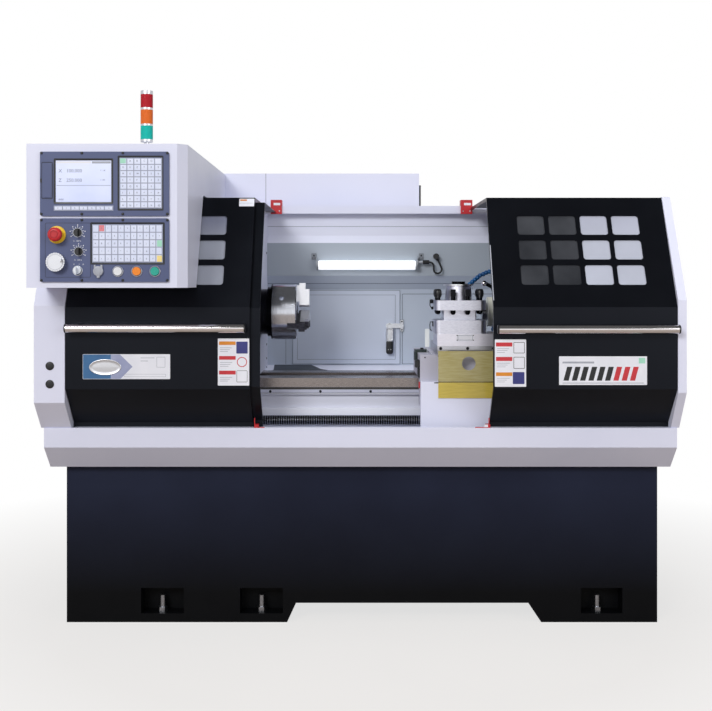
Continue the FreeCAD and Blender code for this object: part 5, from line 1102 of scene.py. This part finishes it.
slope_plate = [
    block((-413, -361.5), (384, 414.5), LABEL_WHITE, brow, PLATE, 1.5),
    (plate(rounded((-410, -387), (405.5, 411.5), 0.6), 0.65, brow, 0.1), LABEL_ORANGE),
    (plate(rounded((-410, -366), (396, 397.2), 0.5), 0.6, brow, 0.1), LABEL_GREY)]
assemble("left_door_plates", "left_door", wide_plate + narrow_plate + slope_plate)


# %% Right door's plates
def stripes(left, count, finish):
    """A row of slanted stripes 27 mm apart: each is 17 mm wide and leans 12 mm to the right."""
    return [patch([(u, 843), (u + 17, 843), (u + 29, 888), (u + 12, 888)], finish)
            for u in range(left, left + 27 * count, 27)]


wide_plate = [
    block((646, 932), (829, 922), LABEL_WHITE, door, PLATE, 2.0),
    block((657, 760), (899, 905), LABEL_GREY, film),
    block((905, 926), (899, 917), KEY_GREEN, film),
    block((657, 921), (834, 836.5), LABEL_GREY, film),
    *stripes(660, 6, LABEL_BLACK), *stripes(822, 3, LABEL_RED)]
narrow_plate = [
    block((437, 539), (823, 977), LABEL_WHITE, door, PLATE, 2.0),
    block((441, 494), (954, 967), LABEL_RED, film),
    block((441, 494), (907, 920), LABEL_RED, film),
    block((441, 494), (858, 870), LABEL_ORANGE, film),
    line(rounded((498, 534), (932, 968), 2.0), 1.6, LABEL_BLACK),
    line(rounded((498, 534), (882, 920), 2.0), 1.6, LABEL_BLACK),
    block((495.5, 533.5), (832, 871), LABEL_INDIGO, film, r=2.0),
    *rows(444, ((946, 484), (940, 478), (934, 470), (899, 486), (893, 478), (887, 472),
                (850, 486), (844, 476), (838, 470)))]
assemble("right_door_plates", "right_door", wide_plate + narrow_plate)

# %% [markdown]
# ## Doors: handles, seals and stops
# Each tube handle is closed by a black plug at either end. A pale seal runs up the right door's
# leading edge, and red stops stand on the tray where the doors end their travel. The plugs and
# the seal ride on their doors, so they move with them, while the stops ride on the machine.

# %% Handle plugs and seal
HANDLES = {"left_door": (-950.0, -374.0, 1014.0), "right_door": (446.0, 1027.0, 1011.0)}
END_PLUG = [(0, -1.0), (0, 2.6), (1.4, 4.0), (6.0, 4.6)]
for body, (low, high, z) in HANDLES.items():
    assemble(body + "_handle_plugs", body,
             [(raised(circle(-463.0, z, 14.7, 32), END_PLUG, face(side, at)), NYLON_BLACK)
              for side, at in (("left", low), ("right", high))])
assemble("right_door_seal", "right_door", [
    (plate(rounded((433.0, 436.4), (24.0, 232.0), 1.0), 0.9, brow, 0.3), LABEL_GREY)])

# %% Door stops
tray_rim = face("top", 679.0)
stop_parts = []
for u, foot in ((-351.0, (-352.0, -318.0)), (428.0, (382.0, 429.0))):
    upright = rounded((u - 1.4, u + 1.4), (-351.5, -344.0), 0.8)
    stop_parts += [(plate(upright, 33.0, tray_rim, 0.5), RED),
                   (plate(rounded(foot, (-352.5, -345.0), 0.8), 2.2, tray_rim, 0.5), RED)]
stop_parts.append(block((412.0, 424.0), (681.3, 690.0), LABEL_WHITE, face("front", -354.0), 0.3))
assemble("door_stop_brackets", "machine", stop_parts)

# %% Door switches
switch = face("front", 286.0)
switch_parts = []
for low, high in ((-346.0, -303.0), (394.0, 439.0)):
    rim = rounded((low + 2.5, high - 2.5), (1429.5, 1479.5), 3.0)
    switch_parts += [
        block(((low + high) / 2 - 10, high - 6), (1461, 1470), LABEL_WHITE, switch, 0.3),
        (bezel(rim, 1.6, 0.8, switch), LABEL_RED),
        (screw_head(low + 9, 1438.0, 3.0, 1.4, switch), STAINLESS),
        (screw_head(high - 9, 1438.0, 3.0, 1.4, switch), STAINLESS)]
assemble("door_switch_fronts", "machine", switch_parts)

# %% [markdown]
# ## Covers: plugs and screws
# Two black plugs close the access holes in the left cover's front, and six button-head screws sit
# on its left side. The inner guard's end wall is screwed on as well. The heads could be one disc
# each, but a low dome with a socket catches the light as a real one does.

# %% Cover plugs and screws
PLUG = [(0, 0), (0, 1.4), (0.9, 2.4), (3.5, 3.0), (9.0, 3.4)]
cover, cover_side = face("front", -436.0), face("left", -1029.5)
cover_parts = [(raised(circle(-1008.0, z, 13.8, 36), PLUG, cover), NYLON_BLACK)
               for z in (891.0, 832.0)]
cover_parts += [(screw_head(y, z, 4.0, 2.2, cover_side), STAINLESS)
                for y in (265.0, -480.0) for z in (1180.0, 1360.0, 1560.0)]
assemble("cover_plugs_and_screws", "machine", cover_parts)

# %% Guard screws
nose_wall = face("right", -362.0)
assemble("guard_screws", "machine",
         [(screw_head(y, z, 4.2, 2.0, nose_wall), BLACK_OXIDE)
          for y, z in ((283, 1275), (283, 920), (283, 866), (283, 831), (-300, 1180), (-300, 760),
                       (-345, 1040), (60, 1330))])

# %% [markdown]
# ## Working space: hatch, seams and latch
# The service hatch lies in a pale grey seal and has a sealed seam inside its edge. Its latch is a
# bright swing bar with a chrome body and a black grip below, over a dark gasket plate. The grip
# and the body ride on the latch, the seal, the seams and the gasket plate on the machine.

# %% Seals and seams
wall = face("front", 350.0)
hatch = face("front", 347.0)
assemble("hatch_seals", "machine", [
    (bezel(rounded((-265.0, 160.0), (838.0, 1130.0), 2.0), 2.2, 3.7, wall), SEAM_PALE),
    (bezel(rounded((-246.0, 142.0), (856.0, 1112.0), 2.0), 1.8, 0.5, hatch, 0.2), SEAM_PALE),
    (bezel(rounded((168.0, 560.0), (838.0, 1116.0), 2.0), 2.2, 0.5, wall, 0.2), SEAM_GREY),
    block((-292.4, -289.6), (838.0, 1131.0), SEAM_PALE, wall, 0.6),
    (plate(rounded((102.0, 134.0), (909.0, 978.5), 3.0), 1.4, hatch), GASKET)])
keeper_top = face("front", 345.4)
assemble("latch_keeper_plate", "machine",
         [(plate(rounded((161.0, 173.0), (967.0, 1013.0), 2.0), 1.6, hatch), STAINLESS),
          (bezel(rounded((159.4, 174.6), (965.4, 1014.6), 2.4), 1.6, 0.9, hatch), SEAM_GREY)]
         + [(screw_head(167.0, z, 3.0, 1.4, keeper_top), BLACK_OXIDE) for z in (1006.5, 973.5)])

# %% Latch
lever, pivot, grip_front = (face("front", y) for y in (335.7, 331.7, 323.7))
BODY = [(0, 0), (0, 9.0), (1.4, 10.6), (4.0, 10.6), (5.2, 9.6)]
GRIP = [(0, 0), (0, 8.0), (2.2, 10.8), (6.0, 11.8), (9.0, 12.0)]
assemble("latch_body_and_grip", "latch",
         [(raised(rounded((104.0, 132.0), (931.5, 981.0), 3.5), BODY, lever), STAINLESS),
          (raised(rounded((104.5, 131.5), (879.0, 931.0), 8.0, 6), GRIP, lever), NYLON_BLACK),
          (bezel(circle(118.0, 990.0, 8.4, 28), 1.8, 0.6, pivot, 0.2), GASKET)]
         + [(screw_head(x, 897.0, 1.8, 0.8, grip_front), STAINLESS) for x in (113.0, 123.0)])

# %% [markdown]
# ## Working space: lamp clips
# The lamp tube hangs in two clips, each held to the panel by one screw. A clip could be a bent
# strip, but only its flat front shows beside the tube, so it is a plate with a frame on it.

# %% Lamp clips
lamp_panel, clip_front = face("front", 320.0), face("front", 317.6)
clip_parts = []
for low, high in ((-189.0, -168.5), (232.0, 252.0)):
    clip_parts += [
        (plate(rounded((low, high), (1250.0, 1275.0), 3.0), 2.4, lamp_panel), ZINC),
        (screw_head((low + high) / 2, 1266.0, 3.4, 1.8, clip_front), BLACK_OXIDE),
        (bezel(rounded((low + 3, high - 3), (1252.5, 1260.5), 2.0), 1.5, 0.8, clip_front), GASKET)]
assemble("lamp_clips", "machine", clip_parts)

# %% [markdown]
# ## Rods and wires
# A rod is a circle carried along a path. At each point the circle lies across the path's
# direction, which is the mean of the runs on both sides, so a bend stays round. A curve with a
# bevel could make it too, as for the lamp's cable, but an array joins a piece's other shapes.


# %% Rods and balls
def tube(path, r, steps=12):
    """Circle of radius r swept along points: side vectors are the run crossed with a fixed one."""
    path = np.array(path, float)
    runs = np.diff(path, axis=0)
    runs /= np.linalg.norm(runs, axis=1, keepdims=True)
    way = np.concatenate([runs[:1], runs[:-1] + runs[1:], runs[-1:]])
    way /= np.linalg.norm(way, axis=1, keepdims=True)
    fixed = np.eye(3)[np.abs(way).sum(0).argmin()]
    side = np.cross(way, fixed)
    side /= np.linalg.norm(side, axis=1, keepdims=True)
    other = np.cross(way, side)
    turns = np.linspace(0, 2 * np.pi, steps, endpoint=False)[:, None, None]
    rings = path + r * (np.cos(turns) * side + np.sin(turns) * other)
    return skin(rings.transpose(1, 0, 2))


def ball(middle, r, steps=20):
    """Sphere as rings: radius r sin a at height -r cos a, with a from pole to pole."""
    a = np.linspace(0.12, np.pi - 0.12, steps // 2)
    levels = [(r - r * s, -r * c) for s, c in zip(np.sin(a), np.cos(a))]
    return raised(circle(middle[0], middle[1], r, steps), levels, face("top", middle[2]))


print("a straight rod has", len(tube([(0, 0, 0), (0, 0, 9)], 1)[1]), "faces")


# %% [markdown]
# ## Bed, saddle and guard
# Strip screws sit along the bed's front way, and a dark folded sheet lies on the sill behind it.
# A bright splash shield on a thin wire stands on the saddle beside the tool post, with a small
# green oiler behind it; black and red wipers press on the ways.

# %% Bed screws and sill
strip = face("front", -165.0)
assemble("bed_strip_screws", "machine",
         [(screw_head(x, 781.8, 4.6, 1.6, strip), BLACK_OXIDE) for x in range(-838, 960, 175)])
sill = tilted((215.0, 822.0), (350.0, 835.0))
assemble("sill_tool_tray", "machine", [
    (plate(polygon([(-330, 3), (-121, 3), (-150, 32), (-190, 126), (-335, 126)]), 2.6, sill),
     SLATE_SHEET_AND_SHADE),
    (plate(rounded((-333, -124), (0.5, 4.0), 1.0), 3.4, sill), NYLON_BLACK)])

# %% Saddle fittings
apron = face("front", -286.0)
slide_face = face("front", -242.0)
saddle_top = face("top", 913.0)
# These two dark plates on the slide's face are painted shade, standing for the shaded legs of the
# slide's dovetail.
SLIDE_LEG_SHADE = ([(266, 928), (303, 928), (317, 907), (266, 907)],
                 [(431, 907), (484, 907), (484, 928), (447, 928)])
assemble("saddle_fittings", "carriage", [
    block((250.5, 264.0), (820.5, 824.5), NYLON_BLACK, apron, 0.8),
    *((plate(polygon(corners), 0.8, slide_face), SLATE_SHEET_AND_SHADE) for corners in SLIDE_LEG_SHADE),
    (plate(rounded((190.0, 205.0), (-236.0, -175.0), 3.0), 24.0, face("top", 870.0)), RUBBER),
    (plate(rounded((199.5, 205.0), (-241.5, -168.0), 1.0), 30.0, face("top", 836.0)), RUBBER),
    (plate(rounded((200.5, 205.0), (-243.5, -236.0), 1.0), 22.0, face("top", 800.0)), RED),
    (screw_head(222.0, 905.0, 2.6, 1.2, slide_face), BLACK_OXIDE),
    (plate(rounded((196.0, 243.0), (-96.0, -30.0), 3.0), 9.0, saddle_top), OIL_GREEN),
    (plate(rounded((194.0, 204.8), (-95.0, -31.0), 3.0), 30.0, face("top", 884.0)), OIL_GREEN),
    (raised(circle(222.0, -64.0, 6.0, 20), [(0, 8.0), (0, 14.0), (1.5, 15.0)], saddle_top),
     NYLON_BLACK)])

# %% Splash shield
SHIELD_WIRES = (([(232.0, -200.0, 912.0), (232.0, -200.0, 940.0)], 1.4),
                ([(232.0, -200.0, 930.0), (243.0, -199.0, 921.0), (252.0, -199.0, 912.4)], 1.1))
shield = rounded((224.5, 239.7), (938.0, 1001.0), 3.0, 5)
assemble("splash_shield", "carriage",
         [(tube(path, r), STAINLESS) for path, r in SHIELD_WIRES]
         + [(plate(shield, 2.4, face("front", -198.5)), CLEAR_SHIELD)])

# %% [markdown]
# ## Tool post and tailstock
# Socket screws and a blank rating plate sit on the slide below the four-way tool post. Four black
# knobs stand on its corners, screw ends hang below its jaws, a bright washer lies on its middle
# and thin wire clamps hold its left side. A chrome-knobbed lever stands on the tailstock.

# %% Slide screws and rating plate
slide_front, rating_front = face("front", -250.0), face("front", -242.9)
assemble("slide_screws", "cross_slide", [
    (screw_head(x, 936.5, 5.4, 2.6, slide_front), BLACK_OXIDE) for x in (275.0, 367.0, 455.0)])
assemble("blank_rating_plate", "cross_slide",
         [(plate(rounded((329.0, 390.0), (961.5, 983.5), 2.0), 0.9, slide_face), LABEL_WHITE),
          (bezel(rounded((334.0, 385.0), (964.5, 980.5), 1.0), 1.0, 0.3, rating_front, 0.1), INK)]
         + [(screw_head(x, z, 1.9, 0.9, rating_front), BLACK_OXIDE)
            for x in (332.0, 387.0) for z in (964.5, 980.5)])

# %% Clamps on the tool post
post_side = face("left", 256.0)
CLAMP_Y = -150.0
CLAMP_WIRES = ([(246.0, 1094.0), (244.5, 1082.0), (250.0, 1072.0)],
               [(257.5, 1022.0), (246.5, 1024.0), (244.5, 1012.0), (245.5, 997.0), (251.0, 993.0)])
clamps = [raised(circle(CLAMP_Y, 1095.5, 7.0, 18), [(0, 0), (0, 9.0), (2.0, 12.0)], post_side),
          raised(circle(CLAMP_Y, 1072.0, 5.0, 18), [(0, 0), (0, 5.0), (1.5, 6.5)], post_side)]
clamps += [tube([(x, CLAMP_Y, z) for x, z in path], 1.6) for path in CLAMP_WIRES]
clamps.append(plate(rounded((-158.0, -142.0), (1008.0, 1026.0), 2.0), 3.0, post_side))
assemble("tool_post_clamps", "turret", [(shape, BLACK_OXIDE) for shape in clamps])

# %% Knobs, screw ends and washer
POST = (345.0, -146.0)
NEAR, WIDE = (-25.0, 25.0), (-73.0, 73.0)
KNOB = [(4.9, 0), (4.9, 7), (1.0, 15), (0, 21), (0.2, 31), (2.4, 36), (6.0, 38.6)]
TIP = [(0, 0), (0, 9.0), (3.0, 14.0), (5.4, 15.5)]
WASHER = [(0, 0), (0, 4.0), (0.6, 4.6), (22.0, 4.6)]
side_screws = [(POST[0] + u, POST[1] + v) for u in WIDE for v in NEAR]
front_screws = [(POST[0] + u, POST[1] + v) for u in NEAR for v in WIDE]
post_top, jaws = face("top", 1100.0), face("under", 1066.0)
assemble("clamping_knobs", "turret",
         [(raised(circle(u, v, 12.8, 28), KNOB, post_top), NYLON_BLACK) for u, v in side_screws]
         + [(raised(circle(u, v, 9.0, 18), TIP, jaws), BLACK_OXIDE)
            for u, v in side_screws + front_screws])
assemble("tool_post_washer", "turret", [
    (raised(circle(*POST, 51.5, 56), WASHER, face("top", 1151.0)), STAINLESS)])

# %% Tailstock lever
LEVER = [(492.0, 60.0, 1090.0), (497.0, 60.0, 1118.0), (489.0, 60.0, 1143.0),
         (466.0, 60.0, 1156.0)]
assemble("tailstock_lever", "tailstock", [
    (tube(LEVER, 7.0, 16), BLACK_OXIDE), (ball((458.6, 60.0, 1157.6), 11.0, 24), CHROME)])

# %% [markdown]
# ## Cabinet: ventilation grille
# A black plastic grille with eight hooded slats covers the slots in the cabinet's right side. Each
# slat is a bar over one slot, so rain of chips and oil can't run in.

# %% Grille
cabinet_side, grille_front = face("right", 238.0), face("right", 247.0)
SLAT = [(0, 0), (0, 3.0), (3.0, 8.0)]
rim = rounded((440.0, 614.0), (1366.0, 1552.0), 5.0)
grille = [(bezel(rim, 7.0, 9.0, cabinet_side, 1.2), NYLON_BLACK)]
grille += [(raised(rounded((447.0, 607.0), (z + 3.5, z + 12.0), 2.0), SLAT, cabinet_side),
            NYLON_BLACK) for z in range(1381, 1536, 22)]
grille += [(screw_head(y, z, 2.8, 1.2, grille_front), STAINLESS)
           for y in (443.6, 610.4) for z in (1370.0, 1548.0)]
assemble("cabinet_vent_grille", "machine", grille)

# %% [markdown]
# ## Room and light
# Three large soft lamps stand in front and above, as in a photo studio. The world fills the
# shadows; the camera, mirrors and glass see it white, because Light Path tells which ray asks.
# Overhead it is darker, so that bright steel shows a horizon as it does in a real hall.

# %% Lamps
def soft_light(name, at, aim, size, watts, mirrored=True):
    """A rectangular lamp turned to its aim, seen in mirrors or not."""
    data = bpy.data.lights.new(name, "AREA")
    data.shape = "RECTANGLE"
    data.size, data.size_y = size
    data.energy = watts
    lamp = bpy.data.objects.new(name, data)
    lamp.location = at
    lamp.rotation_euler = (Vector(aim) - Vector(at)).to_track_quat("-Z", "Y").to_euler()
    lamp.visible_glossy = mirrored
    scene.collection.objects.link(lamp)


soft_light("key_light", (-4.2, -9.5, 6.0), (0.0, 0.0, 1.0), (4.2, 3.0), 650)
soft_light("fill_light", (3.4, -4.0, 2.4), (0.0, 0.0, 0.9), (2.5, 2.5), 56)
soft_light("top_light", (0.0, -0.6, 4.6), (0.0, 0.0, 1.0), (4.0, 2.5), 62, False)
print("lamps:", len(bpy.data.lights))


# %% World
def direct_ray(tree):
    """1 for a ray that reaches the camera straight or through glass, otherwise 0."""
    seen = add(tree, "LightPath", out="Is Camera Ray")
    through = add(tree, "LightPath", out="Is Transmission Ray")
    return add(tree, "Math", {0: seen, 1: through}, operation="MAXIMUM")


WORLD_FILL = 0.36
OVERHEAD = 0.10
world = bpy.data.worlds.new("studio")
scene.world = world
world.use_nodes = True
studio = world.node_tree
glossy = add(studio, "LightPath", out="Is Glossy Ray")
height = add(studio, "SeparateXYZ", {"Vector": add(studio, "TexCoord", out="Generated")}, out="Z")
hall = add(studio, "MapRange", {"Value": height, "From Min": 0.12, "From Max": 0.50,
                                "To Min": 1.0, "To Max": OVERHEAD})
shown = add(studio, "Mix", {"Factor": glossy, 2: WORLD_FILL, 3: hall})
wire(studio, studio.nodes["Background"], {
    "Color": "#ffffff",
    "Strength": add(studio, "Math", {0: direct_ray(studio), 1: shown}, operation="MAXIMUM")})
print("world fill", WORLD_FILL, "overhead", OVERHEAD)

# %% [markdown]
# ## Floor
# A plain pale floor. The camera sees it nearly white, and fully white away from the machine, so
# it joins the background; close to the feet enough of its own colour is left to hold the shadow.

# %% Floor
HALF_FLOOR = 7.0
corners = [(x * HALF_FLOOR, y * HALF_FLOOR, 0) for x, y in ((-1, -1), (1, -1), (1, 1), (-1, 1))]
floor_mesh = bpy.data.meshes.new("floor")
floor_mesh.from_pydata(corners, [], [(0, 1, 2, 3)])
floor = bpy.data.objects.new("floor", floor_mesh)
material, tree, shader, place = begin("floor_resin_pale")
wire(tree, shader, {"Base Color": mottled(tree, place, 700, ("#b5a99f", "#aca096")),
                    "Roughness": drift(tree, place, 300, 0.55, 0.65), "Specular IOR Level": 0.2})
far = add(tree, "VectorMath", {0: place, 1: (0.0, 0.0, 0.0)}, out="Value", operation="DISTANCE")
share = add(tree, "MapRange", {"Value": far, "From Min": 1.1, "From Max": 2.6, "To Min": 0.72,
                               "To Max": 1.0})
white = add(tree, "Emission", {"Color": "#ffffff", "Strength": 1.0})
mixed = add(tree, "MixShader", {
    "Fac": add(tree, "Math", {0: share, 1: direct_ray(tree)}, operation="MULTIPLY"),
    1: shader.outputs[0], 2: white})
tree.links.new(mixed, tree.nodes["Material Output"].inputs["Surface"])
floor_mesh.materials.append(material)
scene.collection.objects.link(floor)
scene.view_settings.view_transform = "Standard"
print("floor", 2 * HALF_FLOOR, "m wide")
